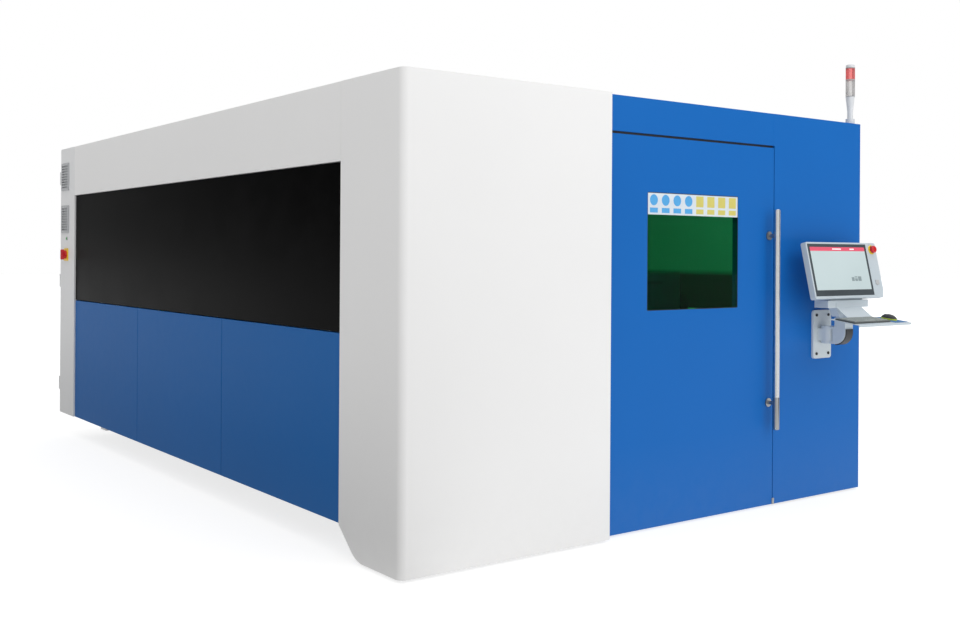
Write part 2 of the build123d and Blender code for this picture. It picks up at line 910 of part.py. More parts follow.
# Drives and supply on the plate at the front wall of the control cabinet
plate_y = side_end_y + sheet
plate_x = (left_x + drive_plate_margin, -cabinet_inner_x - drive_plate_margin)
plate_z = (base_height + drive_plate_margin, machine_height - drive_plate_margin)
drives = [bar(plate_x, (plate_y, plate_y + drive_plate), plate_z)]
for n in range(drive_count):
    drive_x = -cabinet_centre_x + (n - (drive_count - 1) / 2) * drive_pitch
    drives.append(
        bar(
            (drive_x - drive_width / 2, drive_x + drive_width / 2),
            (plate_y + drive_plate, plate_y + drive_plate + drive_depth),
            (drive_level, drive_level + drive_height),
        )
    )
drives.append(
    bar(
        (-cabinet_centre_x - supply_width / 2, -cabinet_centre_x + supply_width / 2),
        (plate_y + drive_plate, plate_y + drive_plate + supply_depth),
        (supply_level, supply_level + supply_height),
    )
)
save_group(drives, "drive_rack")

# Laser source on the floor of the laser cabinet
source_rear_y = plate_y + source_depth
with BuildPart() as source:
    with Locations((cabinet_centre_x, plate_y, base_height + sheet)):
        Box(source_width, source_depth, source_height, align=(Align.CENTER, Align.MIN, Align.MIN))
    fillet(source.edges().filter_by(Axis.Z), source_round)
    with BuildSketch(rear_face(cabinet_centre_x, source_rear_y, base_height + source_height / 2)):
        with GridLocations(0, source_rib_pitch, 1, source_rib_count):
            Rectangle(source_width - 2 * source_rib_pitch, source_rib_height)
    extrude(amount=source_rib_depth)
save(source.part, "laser_source")

# Vent grilles on the control cabinet
with BuildPart(left_face(vent_y, (vent_upper_height + vent_lower_height) / 2, 0)) as vents:
    with GridLocations(0, vent_upper_height - vent_lower_height, 1, 2):
        Box(vent_width, vent_height, vent_depth, align=centre_centre_min)
    fillet(vents.edges().filter_by(Axis.X), vent_round)
    with GridLocations(0, vent_upper_height - vent_lower_height, 1, 2):
        with GridLocations(0, vent_slot_pitch, 1, vent_slot_count):
            Box(vent_opening, vent_slot, 2 * vent_depth + cut_overrun, mode=Mode.SUBTRACT)
save(vents.part, "cabinet_vents")

# Main switch: plate, then the knob with its grip and shaft
with BuildPart() as switch_base:
    with BuildSketch(left_face(switch_y, switch_height, 0)):
        RectangleRounded(switch_plate, switch_plate, switch_plate_round)
        Circle(switch_shaft_radius + shaft_fit, mode=Mode.SUBTRACT)
    extrude(amount=switch_plate_depth)
save(switch_base.part, "main_switch_plate")

knob_plane = left_face(switch_y, switch_height, -switch_plate_depth - switch_gap)
with BuildPart(knob_plane) as knob:
    Cylinder(switch_knob_radius, switch_knob_depth, align=centre_centre_min)
    with BuildSketch(knob_plane.offset(switch_knob_depth)):
        RectangleRounded(switch_grip_width, switch_grip_length, switch_grip_round)
    extrude(amount=switch_grip_depth)
    chamfer(knob.faces().sort_by(Axis.X)[0].edges(), switch_grip_round - edge_round)
    Cylinder(switch_shaft_radius, switch_shaft_reach, align=centre_centre_max)
save(knob.part, "main_switch_knob")

# Indicator lamp
with BuildPart(left_face(lamp_y, lamp_height, 0)) as lamp:
    Cylinder(lamp_radius, lamp_depth, align=centre_centre_min)
    chamfer(lamp.edges().sort_by(Axis.X)[0], lamp_bevel)
save(lamp.part, "cabinet_lamp")

# Bed: side beams, ledges for the pallet and ties
bed_y = (bed_front_y, bed_rear_y)
bed_bars = []
for side in (-1, 1):
    bed_bars.append(bar((side * bed_inner_x, side * bed_outer_x), bed_y, (base_top, bed_top)))
    ledge_x = (side * (bed_inner_x - ledge_depth), side * bed_inner_x)
    bed_bars.append(bar(ledge_x, bed_y, (ledge_foot, ledge_top)))
tie_z = (base_top, ledge_foot - bed_tie_gap)
bed_bars.append(bar((-bed_inner_x, bed_inner_x), (bed_front_y, bed_front_y + bed_tie_width), tie_z))
bed_bars.append(bar((-bed_inner_x, bed_inner_x), (bed_rear_y - bed_tie_width, bed_rear_y), tie_z))
save_group(bed_bars, "bed_beams")

# Guide rails on the beams and racks along their outer sides
rail_pair = []
rack_pair = []
for side in (-1, 1):
    rail_x = (side * (bed_beam_x - guide_rail / 2), side * (bed_beam_x + guide_rail / 2))
    rail_pair.append(bar(rail_x, bed_y, (bed_top, bed_top + guide_rail)))
    rack_x = (side * bed_outer_x, side * (bed_outer_x + rack_width))
    rack_pair.append(bar(rack_x, bed_y, (bed_top - rack_height, bed_top)))
save_group(rail_pair, "guide_rails")
save_group(rack_pair, "gear_racks")

# Sloping chutes that lead scrap to the middle
chute_y = (bed_front_y + bed_tie_width, bed_rear_y - bed_tie_width)
chute_head_z = ledge_foot - chute_gap
chutes = []
for side in (-1, 1):
    with BuildPart() as chute:
        with BuildSketch(Plane.XZ.offset(-chute_y[1])):
            with BuildLine():
                Polyline(
                    (side * bed_inner_x, chute_head_z),
                    (side * chute_foot_gap, base_top),
                    (side * (chute_foot_gap + chute_thickness), base_top),
                    (side * bed_inner_x, chute_head_z - chute_thickness),
                    close=True,
                )
            make_face()
        extrude(amount=chute_y[1] - chute_y[0])
    chutes.append(chute.part)
save_group(chutes, "scrap_chutes")

# Pallet frame and its slats
pallet_z = (ledge_top, ledge_top + pallet_bar_height)
pallet_front_y = bed_front_y + pallet_front_gap
pallet_rear_y = bed_rear_y - pallet_rear_gap
slat_half_x = pallet_width / 2 - pallet_bar_width
pallet_bars = []
for side in (-1, 1):
    long_x = (side * slat_half_x, side * pallet_width / 2)
    pallet_bars.append(bar(long_x, (pallet_front_y, pallet_rear_y), pallet_z))
slat_x = (-slat_half_x, slat_half_x)
pallet_bars.append(bar(slat_x, (pallet_front_y, pallet_front_y + pallet_end_bar), pallet_z))
pallet_bars.append(bar(slat_x, (pallet_rear_y - pallet_end_bar, pallet_rear_y), pallet_z))
save_group(pallet_bars, "pallet_frame")

slat_foot_z = ledge_top + slat_lift
slat_top_z = slat_foot_z + slat_height
tooth_half = slat_half_x / slat_tooth_count
slat_outline = [(-slat_half_x, slat_foot_z), (slat_half_x, slat_foot_z)]
for n in range(2 * slat_tooth_count + 1):
    tooth_z = slat_top_z - (1 - n % 2) * slat_tooth_depth
    slat_outline.append((slat_half_x - n * tooth_half, tooth_z))
slat_start_y = pallet_front_y + pallet_end_bar + slat_end_gap
slat_end_y = pallet_rear_y - pallet_end_bar - slat_end_gap
slat_pitch = (slat_end_y - slat_start_y) / (slat_count - 1)
slat_planes = [Plane.XZ.offset(-slat_start_y - n * slat_pitch) for n in range(slat_count)]
with BuildPart() as slats:
    with BuildSketch(*slat_planes):
        with BuildLine():
            Polyline(*slat_outline, close=True)
        make_face()
    extrude(amount=slat_thickness / 2, both=True)
save(slats.part, "support_slats")

# Gantry carriages: plate with grooved blocks on the rail and a riser under the beam
block_foot_z = bed_top + block_gap
plate_foot_z = block_foot_z + block_height
plate_top_z = plate_foot_z + carriage_plate
gantry_foot_z = plate_top_z + carriage_riser
motor_reach = carriage_riser_width / 2 + motor_gap + motor_width / 2
motor_x = bed_beam_x + motor_reach
carriage_outer = motor_reach + motor_width / 2
pinion_radius = motor_x - bed_outer_x - rack_width - pinion_fit


def carriage(side):
    """Carriage on one side of the bed."""
    plate_middle = side * (bed_beam_x + (carriage_outer - carriage_inner) / 2)
    with BuildPart() as piece:
        with Locations((plate_middle, gantry_y, plate_foot_z)):
            Box(carriage_inner + carriage_outer, carriage_length, carriage_plate, align=centre_centre_min)
        with Locations((side * bed_beam_x, gantry_y, plate_top_z)):
            Box(carriage_riser_width, gantry_depth, carriage_riser, align=centre_centre_min)
        with Locations((side * bed_beam_x, gantry_y, block_foot_z)):
            with GridLocations(0, block_spacing, 1, 2):
                Box(block_width, block_length, block_height, align=centre_centre_min)
            Box(
                guide_rail + 2 * slide_fit,
                carriage_length + cut_overrun,
                guide_rail - block_gap + slide_fit,
                align=centre_centre_min,
                mode=Mode.SUBTRACT,
            )
        with Locations((side * motor_x, gantry_y, plate_top_z)):
            Hole(motor_shaft_radius + shaft_fit, carriage_plate)
    return piece.part


save_group([carriage(-1), carriage(1)], "gantry_carriages")

# Beam of the gantry
gantry_length = 2 * (bed_beam_x + gantry_overhang)
with BuildPart() as gantry:
    with Locations((0, gantry_y, gantry_foot_z)):
        Box(gantry_length, gantry_depth, gantry_height, align=centre_centre_min)
    chamfer(gantry.edges().filter_by(Axis.X).group_by(Axis.Y)[-1].sort_by(Axis.Z)[-1], gantry_chamfer)
    with Locations((0, gantry_y + gantry_depth / 2, gantry_foot_z + gantry_pocket_rise)):
        with GridLocations(gantry_length / gantry_pockets, 0, gantry_pockets, 1):
            Box(
                gantry_length / gantry_pockets - gantry_rib,
                gantry_pocket_depth,
                gantry_pocket_height,
                align=(Align.CENTER, Align.MAX, Align.CENTER),
                mode=Mode.SUBTRACT,
            )
save(gantry.part, "gantry_beam")


# Drive motors with their shafts and pinions
def motor(side):
    """Motor that stands on one carriage, with its pinion below at the rack."""
    with BuildPart() as piece:
        with Locations((side * motor_x, gantry_y, plate_top_z)):
            Box(motor_width, motor_width, motor_height, align=centre_centre_min)
        chamfer(piece.edges().filter_by(Axis.Z), motor_bevel)
        with Locations((side * motor_x, gantry_y, plate_top_z + motor_height)):
            Box(
                motor_width - 2 * motor_cap_inset,
                motor_width - 2 * motor_cap_inset,
                motor_cap_height,
                align=centre_centre_min,
            )
        with Locations((side * motor_x, gantry_y, plate_top_z)):
            Cylinder(motor_shaft_radius, plate_top_z - bed_top, align=centre_centre_max)
        with Locations((side * motor_x, gantry_y, bed_top)):
            Cylinder(pinion_radius, pinion_height, align=centre_centre_max)
    return piece.part


save_group([motor(-1), motor(1)], "gantry_motors")

# Two rails across the front of the beam
gantry_face_y = gantry_y - gantry_depth / 2
cross_middle_z = gantry_foot_z + gantry_height / 2
cross_half = gantry_length / 2 - cross_rail_end
cross_levels = [cross_middle_z + side * cross_rail_spacing / 2 for side in (-1, 1)]
cross_rails = [
    bar(
        (-cross_half, cross_half),
        (gantry_face_y - cross_rail, gantry_face_y),
        (level - cross_rail / 2, level + cross_rail / 2),
    )
    for level in cross_levels
]
save_group(cross_rails, "cross_rails")

# Head carriage: four grooved blocks, the plate and the lift rail
head_block_y = gantry_face_y - head_block_gap
head_plate_y = head_block_y - head_block_depth
lift_rail_y = head_plate_y - head_plate
with BuildPart() as head_carriage:
    for level in cross_levels:
        with Locations((0, head_block_y, level)):
            with GridLocations(head_block_spacing, 0, 2, 1):
                Box(
                    head_block_width,
                    head_block_depth,
                    head_block_height,
                    align=(Align.CENTER, Align.MAX, Align.CENTER),
                )
            Box(
                head_plate_width + cut_overrun,
                cross_rail - head_block_gap + slide_fit,
                cross_rail + 2 * slide_fit,
                align=(Align.CENTER, Align.MAX, Align.CENTER),
                mode=Mode.SUBTRACT,
            )
    with Locations((0, head_plate_y, cross_middle_z)):
        Box(head_plate_width, head_plate, head_plate_height, align=(Align.CENTER, Align.MAX, Align.CENTER))
    with Locations((0, lift_rail_y, cross_middle_z)):
        Box(
            lift_rail_width,
            lift_rail_depth,
            head_plate_height,
            align=(Align.CENTER, Align.MAX, Align.CENTER),
        )
save(head_carriage.part, "head_carriage")

# Lift slide around the lift rail
slide_y = lift_rail_y - lift_slide_gap
slide_front_y = slide_y - lift_slide_depth
slide_middle_z = cross_middle_z + lift_slide_rise
with BuildPart() as lift_slide:
    with Locations((0, slide_y, slide_middle_z)):
        Box(
            lift_slide_width,
            lift_slide_depth,
            lift_slide_height,
            align=(Align.CENTER, Align.MAX, Align.CENTER),
        )
        Box(
            lift_rail_width + 2 * slide_fit,
            lift_rail_depth - lift_slide_gap + slide_fit,
            lift_slide_height + cut_overrun,
            align=(Align.CENTER, Align.MAX, Align.CENTER),
            mode=Mode.SUBTRACT,
        )
save(lift_slide.part, "lift_slide")

# Cutting head: housing, collimator, cone and nozzle
head_y = slide_front_y - head_depth / 2
head_foot_z = cross_middle_z - head_drop
cone_foot_z = head_foot_z - nozzle_cone_height
with BuildPart() as cutting_head:
    with Locations((0, head_y, head_foot_z)):
        Box(head_width, head_depth, head_height, align=centre_centre_min)
    fillet(cutting_head.edges().filter_by(Axis.Z).group_by(Axis.Y)[0], head_round)
    with Locations((0, head_y, head_foot_z + head_height)):
        Cylinder(collimator_radius, collimator_height, align=centre_centre_min)
    with Locations((0, head_y, head_foot_z)):
        Cone(nozzle_neck_radius, nozzle_cone_radius, nozzle_cone_height, align=centre_centre_max)
    with Locations((0, head_y, cone_foot_z)):
        Cone(nozzle_tip_radius, nozzle_neck_radius, nozzle_tip_height, align=centre_centre_max)
save(cutting_head.part, "cutting_head")

# Wall bracket of the console with the boss of its pivot
console_x = right_x - console_inset
pivot_reach = bracket_thickness + pivot_gap + boss_radius
pivot_y = blue_y - pivot_reach
bracket_plane = front_face(console_x, blue_y, bracket_level)
with BuildPart(bracket_plane) as bracket:
    with BuildSketch(bracket_plane):
        RectangleRounded(bracket_width, bracket_height, bracket_round)
    extrude(amount=bracket_thickness)
    Box(2 * boss_radius, boss_height, pivot_reach, align=centre_centre_min)
    with BuildSketch(Plane(origin=(console_x, pivot_y, bracket_level))):
        Circle(boss_radius)
    extrude(amount=boss_height / 2, both=True)
    with BuildSketch(Plane(origin=(console_x, pivot_y, bracket_level))):
        Circle(pivot_radius + pivot_fit)
    extrude(amount=boss_height, both=True, mode=Mode.SUBTRACT)
save(bracket.part, "console_bracket")

# Swinging arm: two ears with the pivot pin, and an elbow up to the swivel
ear_z = boss_height / 2 + ear_gap
arm_foot_z = bracket_level - ear_z - ear_thickness
arm_shoulder_z = bracket_level + ear_z + ear_thickness
arm_web = boss_radius + arm_clearance
arm_top = bracket_level + arm_rise
swivel_y = pivot_y - (arm_post_inner + arm_post_outer) / 2
with BuildPart() as arm:
    with BuildSketch(Plane.YZ.offset(console_x)) as elbow:
        with BuildLine():
            Polyline(
                (pivot_y - arm_web, arm_foot_z),
                (pivot_y - arm_post_outer, arm_foot_z),
                (pivot_y - arm_post_outer, arm_top),
                (pivot_y - arm_post_inner, arm_top),
                (pivot_y - arm_post_inner, arm_shoulder_z),
                (pivot_y - arm_web, arm_shoulder_z),
                close=True,
            )
        make_face()
        fillet(elbow.vertices().group_by(Axis.Y)[0].sort_by(Axis.X)[0], arm_elbow_round)
    extrude(amount=arm_width / 2, both=True)
    for ear_foot_z in (arm_foot_z, arm_shoulder_z - ear_thickness):
        with Locations((console_x, pivot_y, ear_foot_z)):
            Cylinder(boss_radius, ear_thickness, align=centre_centre_min)
            Box(arm_width, arm_post_inner, ear_thickness, align=(Align.CENTER, Align.MAX, Align.MIN))
    with Locations((console_x, pivot_y, arm_foot_z)):
        Cylinder(pivot_radius, arm_shoulder_z - arm_foot_z, align=centre_centre_min)
    with Locations((console_x, swivel_y, arm_top)):
        Cylinder(
            swivel_radius + pivot_fit,
            swivel_depth + cut_overrun,
            align=centre_centre_max,
            mode=Mode.SUBTRACT,
        )
save(arm.part, "console_arm")

# Dark cover around the outside of the elbow
round_y = pivot_y - arm_post_outer + arm_elbow_round
round_z = arm_foot_z + arm_elbow_round
cover_radius = arm_elbow_round + elbow_cover_thickness
with BuildPart() as elbow_cover:
    with BuildSketch(Plane.YZ.offset(console_x)):
        with BuildLine():
            outer = CenterArc((round_y, round_z), cover_radius, 180, 90)
            inner = CenterArc((round_y, round_z), arm_elbow_round, 180, 90)
            Polyline(
                outer @ 0,
                (round_y - cover_radius, round_z + elbow_cover_tail),
                (round_y - arm_elbow_round, round_z + elbow_cover_tail),
                inner @ 0,
            )
            Line(outer @ 1, inner @ 1)
        make_face()
    extrude(amount=elbow_cover_width / 2, both=True)
save(elbow_cover.part, "elbow_cover")

# Tilted plane of the console face, through the middle of its lower edge
tilt = radians(console_tilt)
console_y = swivel_y - console_standout
low_box_foot = arm_top + neck_height
console_foot = low_box_foot + console_rise
console_plane = Plane(
    origin=(console_x, console_y, console_foot), x_dir=(1, 0, 0), z_dir=(0, -cos(tilt), sin(tilt))
)

# Console stand: swivel, neck, low box and the cradle behind the housing
flange_foot_z = arm_top + ear_gap
neck_foot_z = flange_foot_z + swivel_flange
low_box_y = swivel_y + low_box_setback
with BuildPart() as stand:
    with Locations((console_x, swivel_y, flange_foot_z)):
        Cylinder(swivel_flange_radius, swivel_flange, align=centre_centre_min)
        Cylinder(swivel_radius, swivel_depth, align=centre_centre_max)
    with BuildSketch(front_face(console_x, swivel_y, 0)):
        with BuildLine():
            Polyline(
                (-neck_foot_width / 2, neck_foot_z),
                (neck_foot_width / 2, neck_foot_z),
                (neck_width / 2, low_box_foot),
                (-neck_width / 2, low_box_foot),
                close=True,
            )
        make_face()
    extrude(amount=neck_depth / 2, both=True)
    with Locations((console_x, low_box_y, low_box_foot)):
        Box(low_box_width, low_box_depth, low_box_height, align=centre_centre_min)
    with BuildSketch(console_plane.offset(-console_depth)):
        with Locations((0, -cradle_drop)):
            Rectangle(cradle_width, cradle_rise + cradle_drop, align=(Align.CENTER, Align.MIN))
    extrude(amount=-cradle_depth)
save(stand.part, "console_stand")

# Housing of the console with the recess for its glass and the bore of the emergency stop
bezel_width = console_width - bezel_margin - strip_width
bezel_height = console_height - bezel_margin - bezel_foot
bezel_x = -console_width / 2 + bezel_margin + bezel_width / 2
bezel_y = console_height - bezel_margin - bezel_height / 2
strip_x = console_width / 2 - strip_width / 2
stop_y = console_height - stop_drop
with BuildPart() as housing:
    with BuildSketch(console_plane) as housing_face:
        with BuildLine():
            Polyline(
                (-console_width / 2, 0),
                (console_width / 2 - console_cut_width, 0),
                (console_width / 2, console_cut_height),
                (console_width / 2, console_height),
                (-console_width / 2, console_height),
                close=True,
            )
        make_face()
        fillet(housing_face.vertices().group_by(Axis.X)[0], console_round)
        fillet(housing_face.vertices().group_by(Axis.Y)[-1].sort_by(Axis.X)[-1], console_round)
    extrude(amount=-console_depth)
    fillet(housing.faces().sort_by(Axis(console_plane.origin, console_plane.z_dir))[-1].edges(), edge_round)
    with BuildSketch(console_plane):
        with Locations((bezel_x, bezel_y)):
            Rectangle(bezel_width, bezel_height)
    extrude(amount=-bezel_depth, mode=Mode.SUBTRACT)
    with BuildSketch(console_plane):
        with Locations((strip_x, stop_y)):
            Circle(stop_stem_radius + stop_fit)
    extrude(amount=-stop_stem_depth - 2 * stop_travel, mode=Mode.SUBTRACT)
save(housing.part, "console_housing")

# Glass over the display
with BuildPart() as glass:
    with BuildSketch(console_plane):
        with Locations((bezel_x, bezel_y)):
            Rectangle(bezel_width - 2 * bezel_fit, bezel_height - 2 * bezel_fit)
    extrude(amount=-bezel_depth)
save(glass.part, "console_screen")

# Emergency stop button
with BuildPart(console_plane) as stop_button:
    with Locations((strip_x, stop_y, stop_gap)):
        Cylinder(stop_radius, stop_head, align=centre_centre_min)
    stop_axis = Axis(console_plane.origin, console_plane.z_dir)
    chamfer(stop_button.edges().filter_by(GeomType.CIRCLE).sort_by(stop_axis)[-1], stop_bevel)
    with Locations((strip_x, stop_y, stop_gap)):
        Cylinder(stop_stem_radius, stop_stem_depth + stop_gap, align=centre_centre_max)
save(stop_button.part, "estop_button")

# Keyboard tray, tilted to the front and carried by an arm from the low box
slope = radians(tray_tilt)
tray_x = console_x - tray_shift
tray_y = swivel_y - tray_standout
tray_rear_level = low_box_foot - tray_drop
tray_width = keyboard_inset + keyboard_width + mouse_gap + mouse_width + mouse_margin
tray_plane = Plane(
    origin=(tray_x, tray_y, tray_rear_level), x_dir=(1, 0, 0), z_dir=(0, -sin(slope), cos(slope))
)
box_front_y = low_box_y - low_box_depth / 2
lap_y = tray_y - tray_lip * cos(slope)
lap_z = tray_rear_level - tray_lip * sin(slope)
with BuildPart(tray_plane) as tray:
    Box(tray_width, tray_depth, sheet, align=(Align.CENTER, Align.MAX, Align.MAX))
    with Locations((0, -tray_depth, 0)):
        Box(tray_width, sheet, tray_lip, align=(Align.CENTER, Align.MIN, Align.MAX))
    with BuildSketch(Plane.YZ.offset(console_x)):
        with BuildLine():
            Polyline(
                (box_front_y, low_box_foot + tray_arm_flange),
                (box_front_y, low_box_foot),
                (tray_y, tray_rear_level - sheet),
                (lap_y, lap_z - sheet),
                (lap_y, lap_z),
                (tray_y, tray_rear_level),
                (box_front_y - sheet, low_box_foot + sheet),
                (box_front_y - sheet, low_box_foot + tray_arm_flange),
                close=True,
            )
        make_face()
    extrude(amount=tray_arm_width / 2, both=True)
save(tray.part, "keyboard_tray")

# Keyboard and mouse that rest on the tray
keyboard_x = -tray_width / 2 + keyboard_inset + keyboard_width / 2
keyboard_y = -keyboard_setback - keyboard_depth / 2
key_pitch = (keyboard_width - 2 * key_margin) / key_columns
key_row_pitch = (keyboard_depth - 2 * key_row_margin) / key_rows
with BuildPart(tray_plane) as keyboard:
    with BuildSketch(tray_plane):
        with Locations((keyboard_x, keyboard_y)):
            RectangleRounded(keyboard_width, keyboard_depth, keyboard_round)
    extrude(amount=keyboard_thickness)
    with Locations((keyboard_x, keyboard_y, keyboard_thickness)):
        with GridLocations(key_pitch, key_row_pitch, key_columns, key_rows):
            Box(key_pitch - key_gap, key_row_pitch - key_gap, key_height, align=centre_centre_min)
save(keyboard.part, "keyboard")

with BuildPart() as mouse:
    for level, inset in ((0, 0), (mouse_shoulder, mouse_shoulder_inset), (mouse_height, mouse_crown_inset)):
        with BuildSketch(tray_plane.offset(level)):
            with Locations((tray_width / 2 - mouse_margin - mouse_width / 2, -mouse_setback)):
                SlotOverall(mouse_length - 2 * inset, mouse_width - 2 * inset, rotation=90)
    loft(ruled=True)
save(mouse.part, "mouse")

# Tower light
light_x = right_x - light_inset_x
light_y = front_y + light_inset_y
taper_z = light_base_height + light_neck_height
light_clear_z = machine_height + taper_z + light_taper_height
light_red_z = light_clear_z + light_clear_height
with BuildPart() as light_base:
    with BuildSketch(front_face(light_x, light_y, machine_height)):
        with BuildLine():
            Polyline(
                (0, 0),
                (light_base_radius, 0),
                (light_base_radius, light_base_height),
                (light_neck_radius, light_base_height),
                (light_neck_radius, taper_z),
                (light_lens_radius, taper_z + light_taper_height),
                (0, taper_z + light_taper_height),
                close=True,
            )
        make_face()
    revolve(axis=Axis((light_x, light_y, 0), (0, 0, 1)))
save(light_base.part, "tower_light_base")

with BuildPart() as clear_lens:
    with Locations((light_x, light_y, light_clear_z)):
        Cylinder(light_lens_radius, light_clear_height, align=centre_centre_min)
save(clear_lens.part, "tower_light_clear_lens")

with BuildPart() as red_lens:
    with Locations((light_x, light_y, light_red_z)):
        Cylinder(light_lens_radius, light_red_height, align=centre_centre_min)
save(red_lens.part, "tower_light_red_lens")

with BuildPart() as light_cap:
    with Locations((light_x, light_y, light_red_z + light_red_height)):
        Cylinder(light_lens_radius, light_cap_height, align=centre_centre_min)
    chamfer(light_cap.edges().filter_by(GeomType.CIRCLE).sort_by(Axis.Z)[-1], light_cap_bevel)
save(light_cap.part, "tower_light_cap")
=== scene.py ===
"""Looks of an enclosed fiber laser cutting machine.

Painted sheet covers, tinted glazing, door handle, operator console with keyboard and mouse, vents, tower
light and the bare steel inside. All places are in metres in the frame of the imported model: X across the
front, Y to the rear, Z up.
"""

import json
import math

import bmesh
import bpy
from bpy.props import FloatProperty, FloatVectorProperty, IntProperty, PointerProperty
from mathutils import Matrix, Vector


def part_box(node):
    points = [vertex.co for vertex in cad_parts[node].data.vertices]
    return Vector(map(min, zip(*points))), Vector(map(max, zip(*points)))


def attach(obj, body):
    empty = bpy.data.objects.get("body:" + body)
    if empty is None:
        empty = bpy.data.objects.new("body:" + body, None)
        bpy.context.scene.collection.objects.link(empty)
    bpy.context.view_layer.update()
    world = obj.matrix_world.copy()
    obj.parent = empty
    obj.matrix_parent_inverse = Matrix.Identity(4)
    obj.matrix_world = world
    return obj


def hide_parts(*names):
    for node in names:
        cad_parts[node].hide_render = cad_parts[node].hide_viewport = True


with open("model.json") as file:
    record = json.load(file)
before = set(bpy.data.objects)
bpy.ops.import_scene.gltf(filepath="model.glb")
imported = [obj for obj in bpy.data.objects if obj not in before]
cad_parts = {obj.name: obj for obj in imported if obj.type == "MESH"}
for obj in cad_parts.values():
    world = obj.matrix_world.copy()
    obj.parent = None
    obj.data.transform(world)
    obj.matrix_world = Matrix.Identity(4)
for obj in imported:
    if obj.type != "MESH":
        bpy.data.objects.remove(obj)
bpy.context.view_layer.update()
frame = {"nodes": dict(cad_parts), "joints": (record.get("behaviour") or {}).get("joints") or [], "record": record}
nodes = frame["nodes"]
joints = {joint["name"]: joint for joint in frame["joints"]}
mounts = {mount["name"]: mount for mount in frame["record"]["mounts"]}

bl_info = {
    "name": "Fiber laser cutting machine",
    "version": (1, 0, 0),
    "blender": (4, 5, 0),
    "location": "3D View > Sidebar > Laser cutter",
    "description": "Finishes and small pieces of an enclosed fiber laser cutting machine",
    "category": "Object",
}

FULL_TURN = 2 * math.pi
# Well over the rounding of a spun point and well under any edge
MERGE = 1e-5
SHARP_ANGLE = math.radians(32)


# Sizes and colours that a user would change
def metres(name, description, default):
    """Property for a length."""
    return FloatProperty(name=name, description=description, default=default, unit="LENGTH", precision=4)


def shade(name, description, default):
    """Property for a colour."""
    return FloatVectorProperty(
        name=name, description=description, default=default, size=3, min=0.0, max=1.0, subtype="COLOR"
    )


def angle(name, description, degrees):
    """Property for an angle."""
    return FloatProperty(name=name, description=description, default=math.radians(degrees), subtype="ANGLE")


def amount(name, description, default):
    """Property for a plain number."""
    return FloatProperty(name=name, description=description, default=default)


class CutterFinishes(bpy.types.PropertyGroup):
    """Colours of paints, metals and plastics."""

    white: shade("White", "White powder coat of the covers", (0.83, 0.828, 0.825))
    blue: shade("Blue", "Blue powder coat of the front", (0.006, 0.129, 0.46))
    # Painted shade: the side blue is a darker, greyer copy of the front blue that stands in for the shade on the
    # left side; the right side's lower half takes it too.
    shaded_side_blue: shade("Shaded side blue", "Quieter blue powder coat of the lower side panels", (0.010, 0.122, 0.39))
    frame_grey: shade("Frame grey", "Paint of the tube frame", (0.16, 0.17, 0.18))
    machine_grey: shade("Machine grey", "Paint of the bed and the gate", (0.42, 0.44, 0.45))
    glazing: shade("Glazing", "Black pane of the left side", (0.001, 0.001, 0.0011))
    screen: shade("Screen", "Glass of the console around its display", (0.078, 0.092, 0.102))
    laser_green: shade("Laser green", "Tinted pane of the door", (0.045, 0.62, 0.20))
    stainless: shade("Stainless", "Brushed stainless steel", (0.62, 0.63, 0.64))
    steel: shade("Steel", "Ground steel of rails and racks", (0.42, 0.42, 0.43))
    scale: shade("Mill scale", "Scorched steel of slats and chutes", (0.16, 0.13, 0.11))
    anodised: shade("Anodised", "Anodised aluminium of the gantry", (0.50, 0.52, 0.54))
    roof: shade("Roof", "Grey powder coat of the roof panels", (0.46, 0.47, 0.48))
    cabinet: shade("Cabinet", "Pale grey powder coat of the rear cabinets", (0.77, 0.775, 0.78))
    console: shade("Console", "Pale grey paint of the console", (0.525, 0.59, 0.635))
    bracket: shade("Bracket", "Grey paint of the console bracket", (0.62, 0.68, 0.71))
    dark: shade("Dark plastic", "Dark moulded plastic", (0.028, 0.030, 0.033))
    grey: shade("Grey plastic", "Grey moulded plastic", (0.36, 0.37, 0.38))
    red: shade("Red", "Red of the switch and the stop button", (0.60, 0.012, 0.018))
    yellow: shade("Yellow", "Yellow of the switch plate and the stop collar", (0.90, 0.60, 0.01))
    copper: shade("Copper", "Copper of the nozzle", (0.72, 0.33, 0.16))


class CutterDoor(bpy.types.PropertyGroup):
    """Sizes on the sliding door."""

    strip_height: metres("Strip height", "Height of the plain strip over the window", 0.110)
    strip_depth: metres("Strip depth", "Thickness of the strip", 0.0010)
    field_count: IntProperty(name="Fields", description="Colour fields on the strip", default=8, min=2)
    field_size: metres("Field size", "Side of one colour field", 0.057)
    seal_width: metres("Seal width", "Width of the bead around the window", 0.0035)
    sleeve_length: metres("Sleeve length", "Length of the sleeve at the foot of the handle", 0.180)
    sleeve_wall: metres("Sleeve wall", "Wall of the sleeve", 0.0006)


class CutterConsole(bpy.types.PropertyGroup):
    """Sizes on the operator console."""

    display_side: metres("Side border", "Black border left and right of the display", 0.018)
    display_top: metres("Top border", "Black border over the display", 0.018)
    display_foot: metres("Lower border", "Black border under the display", 0.034)
    header_height: metres("Header", "Height of the coloured bar on the display", 0.023)
    tray_tilt: angle("Tray tilt", "Slope of the keyboard tray", 7)
    screw_inset: metres("Screw inset", "Distance of the bracket screws from its edges", 0.028)
    screw_radius: metres("Screw radius", "Radius of a bracket screw head", 0.0085)


